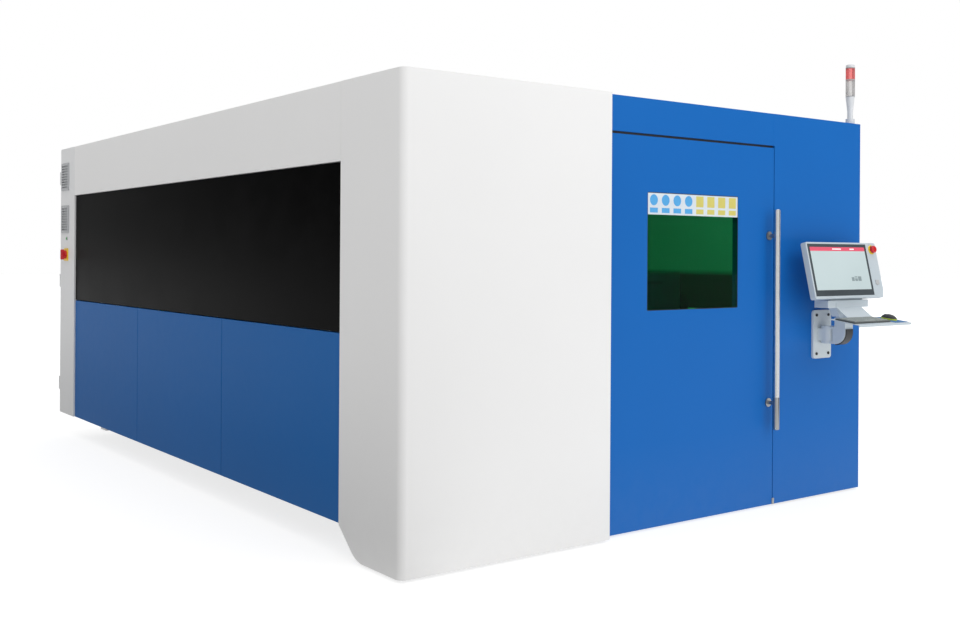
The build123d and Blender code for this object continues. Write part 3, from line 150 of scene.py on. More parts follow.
class CutterStage(bpy.types.PropertyGroup):
    """Camera, light and floor."""

    camera_place: FloatVectorProperty(
        name="Camera", description="Place of the camera", default=(-4.1816, -6.4903, 1.4045), size=3,
        subtype="TRANSLATION",
    )
    camera_yaw: angle("Yaw", "Turn of the camera", -36.42)
    camera_roll: angle("Roll", "Roll of the camera", 0.35)
    lens: amount("Lens", "Focal length in millimetres on a 36 mm sensor", 41.70)
    shift: amount("Shift", "Upward shift of the picture", -0.0689)
    sky: amount("Sky", "Strength of the light all around", 1.0)
    overhead: amount("Overhead", "Power of the overhead panel light", 150.0)
    front: amount("Front", "Power of the front panel light", 99.0)
    floor: shade("Floor", "Pale floor", (0.36, 0.36, 0.36))
    floor_glow: amount("Floor glow", "Light of the floor itself", 0.76)


class CutterSettings(bpy.types.PropertyGroup):
    """All settings of the machine."""

    finishes: PointerProperty(type=CutterFinishes)
    door: PointerProperty(type=CutterDoor)
    console: PointerProperty(type=CutterConsole)
    stage: PointerProperty(type=CutterStage)


def settings():
    """The property groups as they stand in the scene."""
    return bpy.context.scene.laser_cutter


# Shader node groups
WHITE = (1.0, 1.0, 1.0, 1.0)
SKIN_OUTPUTS = {"Color": "NodeSocketColor", "Roughness": "NodeSocketFloat", "Height": "NodeSocketFloat"}
SOCKET_KINDS = {1: "NodeSocketFloat", 3: "NodeSocketVector", 4: "NodeSocketColor"}


def open_group(name, inputs):
    """Empty shader group with its sockets, and the ends to link from and to."""
    tree = bpy.data.node_groups.new(name, "ShaderNodeTree")
    for label, value in inputs.items():
        size = 1 if isinstance(value, float) else len(value)
        socket = tree.interface.new_socket(label, in_out="INPUT", socket_type=SOCKET_KINDS[size])
        socket.default_value = value
    for label, kind in SKIN_OUTPUTS.items():
        tree.interface.new_socket(label, in_out="OUTPUT", socket_type=kind)
    return tree, tree.nodes.new("NodeGroupInput").outputs, tree.nodes.new("NodeGroupOutput").inputs


def close_group(tree, out, *results):
    """Shader group whose colour, roughness and height are linked to its outputs."""
    for label, result in zip(SKIN_OUTPUTS, results):
        tree.links.new(result, out[label])
    return tree


def object_place(tree):
    """Output of the object coordinates."""
    return tree.nodes.new("ShaderNodeTexCoord").outputs["Object"]


def parts_of(tree, vector):
    """Outputs for the three parts of a vector."""
    split = tree.nodes.new("ShaderNodeSeparateXYZ")
    tree.links.new(vector, split.inputs[0])
    return split.outputs


def noise(tree, vector, scale, detail=2.0, roughness=0.5):
    """Value of a noise texture at a vector."""
    texture = tree.nodes.new("ShaderNodeTexNoise")
    texture.inputs["Scale"].default_value = scale
    texture.inputs["Detail"].default_value = detail
    texture.inputs["Roughness"].default_value = roughness
    tree.links.new(vector, texture.inputs["Vector"])
    return texture.outputs["Fac"]


def fill(tree, socket, value):
    """Link an output to a socket, or set the socket to a plain value."""
    if isinstance(value, bpy.types.NodeSocket):
        tree.links.new(value, socket)
    else:
        socket.default_value = value


def math_node(tree, operation, first, second=0.0, third=0.0):
    """Result of a math node."""
    node = tree.nodes.new("ShaderNodeMath")
    node.operation = operation
    for socket, value in zip(node.inputs, (first, second, third)):
        fill(tree, socket, value)
    return node.outputs["Value"]


def vector_node(tree, operation, first, second=(0.0, 0.0, 0.0)):
    """Result of a vector math node; a scale takes its second value as a factor."""
    node = tree.nodes.new("ShaderNodeVectorMath")
    node.operation = operation
    fill(tree, node.inputs[0], first)
    fill(tree, node.inputs["Scale"] if operation == "SCALE" else node.inputs[1], second)
    return node.outputs["Value" if operation in ("LENGTH", "DOT_PRODUCT") else "Vector"]


def ramp_between(tree, value, low, high, start=0.0, end=1.0):
    """Value mapped from one range to another and kept inside it."""
    node = tree.nodes.new("ShaderNodeMapRange")
    for label, number in (("From Min", low), ("From Max", high), ("To Min", start), ("To Max", end)):
        fill(tree, node.inputs[label], number)
    fill(tree, node.inputs["Value"], value)
    return node.outputs["Result"]


def blend_colours(tree, factor, first, second):
    """Mix of two colours."""
    node = tree.nodes.new("ShaderNodeMix")
    node.data_type = "RGBA"
    fill(tree, node.inputs[0], factor)
    fill(tree, node.inputs[6], first)
    fill(tree, node.inputs[7], second)
    return node.outputs[2]


def powder_coat_group():
    """Powder coat: soft mottle, orange peel and a little dust near the floor."""
    inputs = {"Paint": WHITE, "Gloss": 0.4, "Mottle": 0.05, "Dust": 0.1}
    tree, given, out = open_group("powder_coat", inputs)
    place = object_place(tree)
    broad = math_node(tree, "SUBTRACT", noise(tree, place, 1.7, 3.0), 0.5)
    tone = math_node(tree, "MULTIPLY_ADD", broad, given["Mottle"], 1.0)
    painted = vector_node(tree, "SCALE", given["Paint"], tone)
    low = ramp_between(tree, parts_of(tree, place)["Z"], 0.0, 0.45, 1.0, 0.0)
    specks = noise(tree, place, 14.0, 4.0, 0.65)
    film = math_node(tree, "MULTIPLY", math_node(tree, "MULTIPLY", low, specks), given["Dust"])
    dusty = blend_colours(tree, film, painted, (0.46, 0.45, 0.43, 1.0))
    uneven = math_node(tree, "SUBTRACT", specks, 0.5)
    fine = math_node(tree, "MULTIPLY_ADD", uneven, 0.10, given["Gloss"])
    peel = noise(tree, place, 520.0, 1.0)
    return close_group(tree, out, dusty, math_node(tree, "ADD", fine, film), peel)


def brushed_group():
    """Metal with fine lines along one direction."""
    inputs = {"Metal": WHITE, "Gloss": 0.3, "Stretch": (900.0, 900.0, 12.0), "Contrast": 0.25}
    tree, given, out = open_group("brushed_metal", inputs)
    drawn = vector_node(tree, "MULTIPLY", object_place(tree), given["Stretch"])
    lines = noise(tree, drawn, 1.0, 3.0, 0.6)
    centred = math_node(tree, "SUBTRACT", lines, 0.5)
    tone = math_node(tree, "MULTIPLY_ADD", centred, given["Contrast"], 1.0)
    metal = vector_node(tree, "SCALE", given["Metal"], tone)
    rough = math_node(tree, "MULTIPLY_ADD", centred, 0.22, given["Gloss"])
    return close_group(tree, out, metal, rough, lines)


def moulded_group():
    """Moulded plastic: fine spark-eroded grain and slight tone changes."""
    tree, given, out = open_group("moulded_plastic", {"Tint": WHITE, "Gloss": 0.45, "Grain": 1600.0})
    place = object_place(tree)
    grain = noise(tree, vector_node(tree, "SCALE", place, given["Grain"]), 1.0, 1.0)
    patches = math_node(tree, "SUBTRACT", noise(tree, place, 22.0, 2.0), 0.5)
    tone = math_node(tree, "MULTIPLY_ADD", patches, 0.10, 1.0)
    tinted = vector_node(tree, "SCALE", given["Tint"], tone)
    rough = math_node(tree, "MULTIPLY_ADD", patches, 0.12, given["Gloss"])
    return close_group(tree, out, tinted, rough, grain)


def scorched_group():
    """Hot-rolled steel with scorch marks and thin rust."""
    tree, given, out = open_group("scorched_steel", {"Metal": WHITE, "Gloss": 0.55})
    place = object_place(tree)
    marks = noise(tree, place, 16.0, 6.0, 0.7)
    rust = ramp_between(tree, marks, 0.52, 0.68)
    soot = ramp_between(tree, noise(tree, place, 7.0, 4.0), 0.42, 0.66)
    rusty = blend_colours(tree, rust, given["Metal"], (0.20, 0.085, 0.035, 1.0))
    sooty = blend_colours(tree, soot, rusty, (0.03, 0.028, 0.027, 1.0))
    rough = math_node(tree, "MULTIPLY_ADD", rust, 0.25, given["Gloss"])
    return close_group(tree, out, sooty, rough, marks)


GROUP_MAKERS = {
    "powder_coat": powder_coat_group,
    "brushed_metal": brushed_group,
    "moulded_plastic": moulded_group,
    "scorched_steel": scorched_group,
}


def shared_group(name):
    """Shader group by name, made at its first use."""
    return bpy.data.node_groups.get(name) or GROUP_MAKERS[name]()


# Materials
def principled(name, **sockets):
    """New material and its shader, with plain values on the shader's own sockets."""
    material = bpy.data.materials.new(name)
    material.use_nodes = True
    shader = material.node_tree.nodes["Principled BSDF"]
    for label, value in sockets.items():
        shader.inputs[label.replace("_", " ").title().replace("Ior", "IOR")].default_value = value
    return material, shader


def skinned(name, group, values, bump=0.0, bump_distance=0.0002, **sockets):
    """Material whose colour, roughness and bump come from a shared group."""
    material, shader = principled(name, **sockets)
    tree = material.node_tree
    skin = tree.nodes.new("ShaderNodeGroup")
    skin.node_tree = shared_group(group)
    for label, value in values.items():
        skin.inputs[label].default_value = value
    tree.links.new(skin.outputs["Color"], shader.inputs["Base Color"])
    tree.links.new(skin.outputs["Roughness"], shader.inputs["Roughness"])
    if bump:
        relief = tree.nodes.new("ShaderNodeBump")
        relief.inputs["Strength"].default_value = bump
        relief.inputs["Distance"].default_value = bump_distance
        tree.links.new(skin.outputs["Height"], relief.inputs["Height"])
        tree.links.new(relief.outputs["Normal"], shader.inputs["Normal"])
    return material


def solid(colour):
    """Colour with full alpha."""
    return (*colour, 1.0)


def toned(colour, share):
    """Colour made darker or paler by one factor."""
    return tuple(share * part for part in colour)


def coat(name, colour, gloss=0.42, mottle=0.05, dust=0.12, specular=0.25, bump=0.10):
    """Powder-coated sheet."""
    values = {"Paint": solid(colour), "Gloss": gloss, "Mottle": mottle, "Dust": dust}
    return skinned(name, "powder_coat", values, bump=bump, specular_ior_level=specular)


def brushed(name, colour, gloss=0.28, stretch=(900, 900, 12), contrast=0.25):
    """Brushed or ground metal."""
    values = {"Metal": solid(colour), "Gloss": gloss, "Stretch": stretch, "Contrast": contrast}
    return skinned(name, "brushed_metal", values, bump=0.06, bump_distance=0.0001, metallic=1.0)


def moulded(name, colour, gloss=0.45, grain=1600.0, bump=0.12, coat_weight=0.0):
    """Moulded plastic."""
    values = {"Tint": solid(colour), "Gloss": gloss, "Grain": grain}
    return skinned(
        name, "moulded_plastic", values, bump=bump, specular_ior_level=0.45, coat_weight=coat_weight
    )


def side_coat(name, lower, upper, level):
    """Powder coat of the right side: two colours outside, pale with a sooty lower half inside."""
    soot, soot_rise, soot_fade, skin_depth = (0.050, 0.068, 0.060), 0.25, 0.02, 0.0015
    material = coat(name, upper)
    tree = material.node_tree
    skin = next(node for node in tree.nodes if node.type == "GROUP")
    split = parts_of(tree, object_place(tree))
    above = math_node(tree, "GREATER_THAN", split["Z"], level)
    # The lower colour outside is the darker side blue, which is painted shade.
    painted = blend_colours(tree, above, solid(lower), solid(upper))
    soot_level = level + soot_rise
    clean = ramp_between(tree, split["Z"], soot_level - soot_fade, soot_level + soot_fade)
    inner = blend_colours(tree, clean, solid(soot), solid(upper))
    lower_skin = -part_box("left_lower_panels")[0].x - skin_depth
    upper_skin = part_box("right_side_panels")[1].x - skin_depth
    skin_x = ramp_between(tree, above, 0.0, 1.0, lower_skin, upper_skin)
    outside = math_node(tree, "GREATER_THAN", split["X"], skin_x)
    tree.links.new(blend_colours(tree, outside, inner, painted), skin.inputs["Paint"])
    return material


def tinted_glass(name, colour):
    """Clear pane with a strong tint and a trace of wiping marks."""
    material, shader = principled(name, base_color=solid(colour), transmission_weight=1.0, ior=1.10)
    tree = material.node_tree
    smears = noise(tree, object_place(tree), 5.0, 5.0, 0.6)
    tree.links.new(ramp_between(tree, smears, 0.4, 0.75, 0.015, 0.07), shader.inputs["Roughness"])
    return material


def polished_pane(name, colour, sheen, haze):
    """Black pane with a trace of dust; the haze is its lowest roughness."""
    material, shader = principled(name, specular_ior_level=sheen)
    tree = material.node_tree
    most, dust_colour = 0.35, (0.006, 0.006, 0.0063)
    dust = ramp_between(tree, noise(tree, object_place(tree), 3.0, 5.0, 0.7), 0.45, 0.85, 0.0, most)
    dusty = blend_colours(tree, dust, solid(colour), solid(dust_colour))
    tree.links.new(dusty, shader.inputs["Base Color"])
    tree.links.new(ramp_between(tree, dust, 0.0, most, haze, haze + 0.08), shader.inputs["Roughness"])
    return material


def lens_plastic(name, colour, clear):
    """Translucent plastic of the tower light."""
    material, shader = principled(
        name, base_color=solid(colour), transmission_weight=clear, ior=1.46, specular_ior_level=0.5
    )
    tree = material.node_tree
    haze = noise(tree, object_place(tree), 60.0, 2.0)
    tree.links.new(ramp_between(tree, haze, 0.3, 0.7, 0.16, 0.26), shader.inputs["Roughness"])
    return material


def glowing(name, colour, strength):
    """Surface of a display or a lamp."""
    material, shader = principled(name, emission_color=solid(colour), emission_strength=strength)
    tree = material.node_tree
    drift = noise(tree, object_place(tree), 3.5, 1.0)
    paler = tuple(min(1.0, part * 1.12) for part in colour)
    tree.links.new(blend_colours(tree, drift, solid(colour), solid(paler)), shader.inputs["Base Color"])
    shader.inputs["Roughness"].default_value = 0.25
    return material


def palette():
    """All materials of the machine by name, made at the first call."""
    if "white coat" in bpy.data.materials:
        return bpy.data.materials
    tones = settings().finishes
    sill = (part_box("left_window")[0].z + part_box("left_lower_panels")[1].z) / 2
    coat("white coat", tones.white, mottle=0.035, specular=0.30)
    coat("blue coat", tones.blue, mottle=0.06, dust=0.06, specular=0.14)
    coat("cabinet coat", tones.cabinet, mottle=0.035, specular=0.30)
    coat("roof coat", tones.roof, mottle=0.05, gloss=0.5)
    # Painted shade: a darker, greyer copy of the blue coat for the lower side panels.
    coat("shaded side blue coat", tones.shaded_side_blue, mottle=0.06, dust=0.06, specular=0.08)
    side_coat("side coat", tones.shaded_side_blue, tones.white, sill)
    coat("frame coat", tones.frame_grey, gloss=0.5)
    coat("machine coat", tones.machine_grey, gloss=0.5)
    coat("console coat", tones.console, gloss=0.36, dust=0.0, bump=0.08)
    coat("bracket coat", tones.bracket, gloss=0.40, dust=0.0, bump=0.15)
    polished_pane("black glazing", tones.glazing, 0.018, 0.28)
    polished_pane("screen glass", tones.screen, 0.5, 0.12)
    tinted_glass("laser green glass", tones.laser_green)
    brushed("stainless tube", tones.stainless, gloss=0.26)
    brushed("stainless sleeve", toned(tones.stainless, 0.62), gloss=0.34)
    brushed("ground steel", tones.steel, gloss=0.32, stretch=(600, 8, 600))
    brushed("anodised aluminium", tones.anodised, gloss=0.38, stretch=(10, 500, 500), contrast=0.12)
    brushed("nozzle copper", tones.copper, gloss=0.24, stretch=(300, 300, 900))
    skinned("scorched steel", "scorched_steel", {"Metal": solid(tones.scale)}, bump=0.3, metallic=0.55)
    moulded("dark plastic", tones.dark)
    moulded("black oxide", toned(tones.dark, 0.6), gloss=0.38)
    moulded("grey plastic", tones.grey)
    moulded("pale plastic", toned(tones.grey, 1.30))
    moulded("light housing", toned(tones.grey, 1.85), gloss=0.3, bump=0.03)
    moulded("key deck", (0.075, 0.085, 0.085))
    moulded("keycap", (0.27, 0.30, 0.29), gloss=0.5)
    moulded("red plastic", tones.red, gloss=0.28, bump=0.04, coat_weight=0.3)
    moulded("yellow plastic", tones.yellow, gloss=0.34, bump=0.05)
    moulded("filter mat", toned(tones.grey, 1.25), gloss=0.9, grain=420.0, bump=0.9)
    moulded("seal rubber", toned(tones.dark, 0.5), gloss=0.6)
    lens_plastic("clear lens", (0.76, 0.75, 0.75), 0.95)
    lens_plastic("red lens", (0.93, 0.34, 0.34), 0.95)
    lens_plastic("green lens", (0.16, 0.62, 0.22), 0.3)
    glowing("light core", (0.90, 0.90, 0.89), 0.6)
    return bpy.data.materials


NODE_FINISHES = {
    "white coat": ["front_corner_cover", "left_fascia", "rear_upper_panel", "rear_lower_panel"],
    "roof coat": ["roof_panels"],
    "cabinet coat": ["control_cabinet", "laser_cabinet", "control_cabinet_door", "laser_cabinet_door"],
    "blue coat": ["front_right_cover", "front_header", "front_door"],
    "shaded side blue coat": ["left_lower_panels"],
    "side coat": ["right_side_panels"],
    "frame coat": ["enclosure_frame", "left_window_frame", "gate_guides"],
    "machine coat": ["bed_beams", "pallet_frame", "gantry_carriages", "rear_gate"],
    "console coat": ["console_housing", "console_stand", "keyboard_tray"],
    "bracket coat": ["console_bracket", "console_arm"],
    "black glazing": ["left_window"],
    "screen glass": ["console_screen"],
    "laser green glass": ["door_window"],
    "stainless tube": ["door_handle"],
    "stainless sleeve": ["handle_posts"],
    "ground steel": ["door_rail", "door_hangers", "guide_rails", "gear_racks", "cross_rails", "dust_spigot",
                     "levelling_feet"],
    "anodised aluminium": ["gantry_beam", "head_carriage", "lift_slide", "cutting_head"],
    "scorched steel": ["support_slats", "scrap_chutes"],
    "dark plastic": ["elbow_cover", "laser_source", "gantry_motors", "mouse"],
    "grey plastic": ["door_guide", "keyboard"],
    "light housing": ["tower_light_base", "tower_light_cap"],
    "pale plastic": ["drive_rack", "cabinet_vents"],
    "red plastic": ["main_switch_knob", "estop_button"],
    "yellow plastic": ["main_switch_plate"],
    "clear lens": ["tower_light_clear_lens"],
    "red lens": ["tower_light_red_lens"],
    "green lens": ["cabinet_lamp"],
}


# Mesh helpers
def local_box(node, turn):
    """Lowest and highest corner of a CAD node in a turned frame."""
    back = turn.inverted()
    points = [back @ vertex.co for vertex in nodes[node].data.vertices]
    low = Vector([min(point[axis] for point in points) for axis in range(3)])
    high = Vector([max(point[axis] for point in points) for axis in range(3)])
    return low, high


def foot_of(low, high):
    """Middle of the foot of a box."""
    return Vector(((low.x + high.x) / 2, (low.y + high.y) / 2, low.z))


def axes(x_axis, y_axis, z_axis, origin=(0, 0, 0)):
    """Placing matrix from three axes and an origin."""
    columns = [Vector(part).to_4d() for part in (x_axis, y_axis, z_axis)]
    for column in columns:
        column.w = 0.0
    return Matrix((*columns, Vector(origin).to_4d())).transposed()


def at(turn, x, y, z):
    """Frame moved to a place given in its own axes."""
    return turn @ Matrix.Translation((x, y, z))


def facing(direction, up, origin=(0, 0, 0)):
    """Frame whose Z points along a direction and whose Y points up."""
    z_axis = Vector(direction).normalized()
    x_axis = Vector(up).cross(z_axis).normalized()
    return axes(x_axis, z_axis.cross(x_axis), z_axis, origin)


FORWARD = (0, -1, 0)
REARWARD = (0, 1, 0)
LEFTWARD = (-1, 0, 0)
UPWARD = (0, 0, 1)
FRONT = facing(FORWARD, UPWARD)
LEFT = facing(LEFTWARD, UPWARD)
UPRIGHT = Matrix.Identity(4)


def new_faces(mesh, before):
    """Faces made since a mark."""
    return [face for face in mesh.faces if face not in before]


def paint_new(mesh, before, index):
    """Give the faces made since a mark one material index."""
    for face in new_faces(mesh, before):
        face.material_index = index


def merge_new(mesh, before):
    """Merge the doubled points of the faces made since a mark, sorted so that each run does the same."""
    corners = {corner for face in new_faces(mesh, before) for corner in face.verts}
    ordered = sorted(corners, key=lambda corner: corner.co[:])
    bmesh.ops.remove_doubles(mesh, verts=ordered, dist=MERGE)


def block(mesh, turn, low, high):
    """Corners of a plain block between two places of a turned frame."""
    size = [top - foot for foot, top in zip(low, high)]
    middle = [(top + foot) / 2 for foot, top in zip(low, high)]
    place = at(turn, *middle) @ Matrix.Diagonal((*size, 1.0))
    return bmesh.ops.create_cube(mesh, size=1.0, matrix=place)["verts"]


def round_edges(mesh, corners, bevel, segments):
    """Round all edges that meet at the given corners."""
    edges = list(dict.fromkeys(edge for corner in corners for edge in corner.link_edges))
    bmesh.ops.bevel(
        mesh, geom=edges, offset=bevel, segments=segments, profile=0.5, affect="EDGES", material=-1,
        clamp_overlap=True,
    )


def slab(mesh, turn, low, high, bevel, segments=2, index=0):
    """Block between two corners of a turned frame, with rounded edges."""
    before = set(mesh.faces)
    round_edges(mesh, block(mesh, turn, low, high), bevel, segments)
    merge_new(mesh, before)
    paint_new(mesh, before, index)


def field(mesh, turn, x_pair, y_pair, level, rise, bevel, segments=1, index=0):
    """Thin raised field over two ranges of a turned frame."""
    low, high = (x_pair[0], y_pair[0], level), (x_pair[1], y_pair[1], level + rise)
    slab(mesh, turn, low, high, bevel, segments, index)


def turned(mesh, turn, outline, steps=48, index=0):
    """Closed shape turned about the Z of a frame from an outline of radius and height.

    An outline that starts on the axis is led back to it, and any other is closed to a ring.
    """
    before = set(mesh.faces)
    ring = outline[0][0] > 0
    if not ring and outline[-1][0] > 0:
        outline = [*outline, (0.0, outline[-1][1])]
    points = [mesh.verts.new(turn @ Vector((radius, 0, height))) for radius, height in outline]
    loop = points + points[:1] if ring else points
    edges = [mesh.edges.new(pair) for pair in zip(loop, loop[1:])]
    bmesh.ops.spin(
        mesh, geom=points + edges, cent=turn.translation, axis=turn.col[2].to_3d(), angle=FULL_TURN,
        steps=steps, use_merge=True,
    )
    merge_new(mesh, before)
    bmesh.ops.recalc_face_normals(mesh, faces=new_faces(mesh, before))
    paint_new(mesh, before, index)


def hex_block(mesh, turn, radius, foot, top, bevel):
    """Six-sided block along the Z of a frame."""
    made = bmesh.ops.create_cone(
        mesh, cap_ends=True, segments=6, radius1=radius, radius2=radius, depth=top - foot,
        matrix=at(turn, 0, 0, (foot + top) / 2),
    )
    round_edges(mesh, made["verts"], bevel, 2)


def socket_screw(mesh, turn, radius, height):
    """Screw head with a round socket, standing on the XY plane of a frame."""
    socket = 0.52 * radius
    turned(
        mesh, turn,
        [(0, 0.35 * height), (socket, 0.35 * height), (socket, 0.96 * height), (socket * 1.12, height),
         (0.88 * radius, height), (radius, 0.82 * height), (radius, -0.1 * height)],
        steps=24,
    )


def piece(mesh, name, body, materials, smooth=True):
    """Finished object from a bmesh: it rides on a body and takes its finish from a slot."""
    data = bpy.data.meshes.new(name)
    mesh.to_mesh(data)
    mesh.free()
    for material in materials:
        data.materials.append(palette()[material])
    if smooth:
        data.shade_smooth()
        data.set_sharp_from_angle(angle=SHARP_ANGLE)
    made = bpy.data.objects.new(name, data)
    bpy.context.scene.collection.objects.link(made)
    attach(made, body)
    return made


def console_frame():
    """Frame of the tilted console face: X to the right, Y up the face, Z out of it."""
    outward = -Vector(joints["stop_press"]["axis"])
    return facing(outward, UPWARD)


def tray_frame():
    """Frame of the keyboard tray: X to the right, Y to the rear, Z out of the tray."""
    tilt = settings().console.tray_tilt
    return facing((0, -math.sin(tilt), math.cos(tilt)), REARWARD)


# Operators
class CUTTER_OT_finishes(bpy.types.Operator):
    """Paint every CAD node with its finish"""

    bl_idname = "cutter.finishes"
    bl_label = "Finishes of the nodes"
    bl_options = {"REGISTER", "UNDO"}

    def execute(self, context):
        finished = {node: palette()[name] for name, group in NODE_FINISHES.items() for node in group}
        for name, node in nodes.items():
            if not node.material_slots:
                node.data.materials.append(finished[name])
            for slot in node.material_slots:
                slot.material = finished[name]
        return {"FINISHED"}


class CUTTER_OT_window_strip(bpy.types.Operator):
    """Plain strip with colour fields over the door window, and the bead around the pane"""

    bl_idname = "cutter.window_strip"
    bl_label = "Strip and bead of the door window"
    bl_options = {"REGISTER", "UNDO"}

    def execute(self, context):
        sizes = settings().door
        low, high = local_box("door_window", FRONT)
        self.add_bead(sizes, low, high)
        self.add_strip(sizes, low, high)
        return {"FINISHED"}

    def add_bead(self, sizes, low, high):
        """Rubber bead along the four edges of the pane."""
        rim, rise, edge = sizes.seal_width, 0.0014, 0.0005
        left, right = low.x + rim, high.x - rim
        bead = bmesh.new()
        for x_pair, y_pair in (
            ((low.x, left), (low.y, high.y)),
            ((right, high.x), (low.y, high.y)),
            ((left, right), (low.y, low.y + rim)),
            ((left, right), (high.y - rim, high.y)),
        ):
            field(bead, FRONT, x_pair, y_pair, high.z, rise, edge, segments=2)
        piece(bead, "window_bead", "door", ["seal rubber"])

    def add_strip(self, sizes, low, high):
        """White strip: round blue fields on the left, square yellow ones on the right, bars under both."""
        rim, half = sizes.seal_width, sizes.field_size / 2
        skin, edge = 0.0002, 0.0003
        head = high.y - rim
        foot = head - sizes.strip_height
        face = high.z + sizes.strip_depth
        middle = (foot + head) / 2
        pitch = (high.x - low.x - 2 * rim) / sizes.field_count
        strip = bmesh.new()
        slab(strip, FRONT, (low.x + rim, foot, high.z), (high.x - rim, head, face), edge)
        for count in range(sizes.field_count):
            centre = low.x + rim + (count + 0.5) * pitch
            sides = (centre - half, centre + half)
            sign, bar = (middle - 0.3 * half, middle + 1.7 * half), (middle - 1.6 * half, middle - 0.7 * half)
            index = 1 if count < sizes.field_count / 2 else 2
            if index == 1:
                disc = at(FRONT, centre, middle + 0.7 * half, face)
                turned(strip, disc, [(0.0, skin), (half - skin, skin), (half, 0.0)], steps=40, index=index)
            else:
                field(strip, FRONT, sides, sign, face, skin, skin / 2, index=index)
            field(strip, FRONT, sides, bar, face, skin, skin / 2, index=index)
        moulded("strip white", (0.66, 0.72, 0.78), gloss=0.3, bump=0.02)
        moulded("strip blue", (0.09, 0.38, 0.74), gloss=0.3, bump=0.02)
        moulded("strip yellow", (0.64, 0.57, 0.15), gloss=0.3, bump=0.02)
        piece(strip, "window_strip", "door", ["strip white", "strip blue", "strip yellow"])


class CUTTER_OT_header_seal(bpy.types.Operator):
    """Painted filler in the seam between header and fixed cover, and the dark brush over the door"""

    bl_idname = "cutter.header_seal"
    bl_label = "Filler and brush of the header"
    bl_options = {"REGISTER", "UNDO"}

    def execute(self, context):
        low, high = local_box("front_header", FRONT)
        cover_low = local_box("front_right_cover", FRONT)[0]
        door_low, door_high = local_box("front_door", FRONT)
        lap, proud, sunk, shy = 0.0045, 0.0004, 0.003, 0.001
        filler = bmesh.new()
        slab(
            filler, FRONT, (high.x - lap, low.y, high.z - sunk),
            (cover_low.x + lap, high.y - shy, high.z + proud), proud / 4, segments=1,
        )
        piece(filler, "header_filler", "machine", ["blue coat"])
        gap, setback, edge = 0.0012, 0.010, 0.001
        brush = bmesh.new()
        slab(
            brush, FRONT, (low.x, door_high.y + gap, door_low.z),
            (high.x, low.y + edge, high.z - setback), edge,
        )
        piece(brush, "door_brush", "machine", ["seal rubber"])
        return {"FINISHED"}


class CUTTER_OT_handle_sleeve(bpy.types.Operator):
    """Sleeve at the foot of the tube handle"""

    bl_idname = "cutter.handle_sleeve"
    bl_label = "Sleeve of the door handle"
    bl_options = {"REGISTER", "UNDO"}

    def execute(self, context):
        sizes = settings().door
        low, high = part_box("door_handle")
        radius = (high.x - low.x) / 2
        outer, top = radius + sizes.sleeve_wall, sizes.sleeve_length
        sleeve = bmesh.new()
        turned(
            sleeve, Matrix.Translation(foot_of(low, high)),
            [(radius * 0.9, 0.0004), (outer - 0.003, 0.0002), (outer, 0.0032), (outer, top - 0.0008),
             (outer - 0.0004, top), (radius * 0.99, top)],
            steps=64,
        )
        piece(sleeve, "handle_sleeve", "door", ["stainless sleeve"])
        return {"FINISHED"}


class CUTTER_OT_bracket_screws(bpy.types.Operator):
    """Four screws of the console bracket"""

    bl_idname = "cutter.bracket_screws"
    bl_label = "Screws of the console bracket"
    bl_options = {"REGISTER", "UNDO"}

    def execute(self, context):
        sizes = settings().console
        low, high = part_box("console_bracket")
        plate, head_height = 0.014, 0.005
        screws = bmesh.new()
        for x in (low.x + sizes.screw_inset, high.x - sizes.screw_inset):
            for z in (low.z + sizes.screw_inset, high.z - sizes.screw_inset):
                seat = facing(FORWARD, UPWARD, (x, high.y - plate, z))
                socket_screw(screws, seat, sizes.screw_radius, head_height)
        piece(screws, "bracket_screws", "machine", ["black oxide"])
        return {"FINISHED"}


# Marks on the coloured bar: start and length as shares of its width
BAR_MARKS = ((0.40, 0.16), (0.72, 0.08))
# Blocks of the nest preview: place and size as shares of the pale field
PREVIEW_BLOCKS = (
    (0.66, 0.22, 0.05, 0.10),
    (0.72, 0.22, 0.05, 0.07),
    (0.78, 0.22, 0.06, 0.12),
    (0.72, 0.31, 0.05, 0.03),
)


class CUTTER_OT_display(bpy.types.Operator):
    """Lit picture on the console glass: a coloured bar, a pale field and a plain nest preview"""

    bl_idname = "cutter.display"
    bl_label = "Display of the console"
    bl_options = {"REGISTER", "UNDO"}

    def execute(self, context):
        sizes = settings().console
        turn = console_frame()
        low, high = local_box("console_screen", turn)
        left, right = low.x + sizes.display_side, high.x - sizes.display_side
        foot, head = low.y + sizes.display_foot, high.y - sizes.display_top
        split = head - sizes.header_height
        width, height = right - left, split - foot
        thin, mark_half = 0.0003, 0.004
        face, raised = high.z, high.z + thin
        fields = [((left, right), (foot, split), face, 0), ((left, right), (split, head), face, 1)]
        for start_share, length_share in BAR_MARKS:
            start, middle = left + start_share * width, (split + head) / 2
            x_pair, y_pair = (start, start + length_share * width), (middle - mark_half, middle + mark_half)
            fields.append((x_pair, y_pair, raised, 2))
        for column_share, row_share, wide_share, tall_share in PREVIEW_BLOCKS:
            x, y = left + column_share * width, foot + row_share * height
            fields.append(((x, x + wide_share * width), (y, y + tall_share * height), raised, 3))
        lit = bmesh.new()
        for x_pair, y_pair, level, index in fields:
            field(lit, turn, x_pair, y_pair, level, thin, thin / 3, index=index)
        glowing("display field", (0.50, 0.59, 0.60), 0.11)
        glowing("display bar", (0.68, 0.10, 0.16), 0.15)
        glowing("display text", (0.86, 0.74, 0.76), 0.15)
        glowing("display parts", (0.26, 0.32, 0.33), 0.05)
        finishes = ["display field", "display bar", "display text", "display parts"]
        piece(lit, "display_picture", "console", finishes)
        return {"FINISHED"}


# Radius and height of the ring around the stop button
STOP_COLLAR = (
    (0.0130, -0.0005), (0.0130, 0.0025), (0.0218, 0.0025), (0.0220, 0.0066),
    (0.0246, 0.0070), (0.0262, 0.0052), (0.0268, 0.0), (0.0268, -0.0005),
)


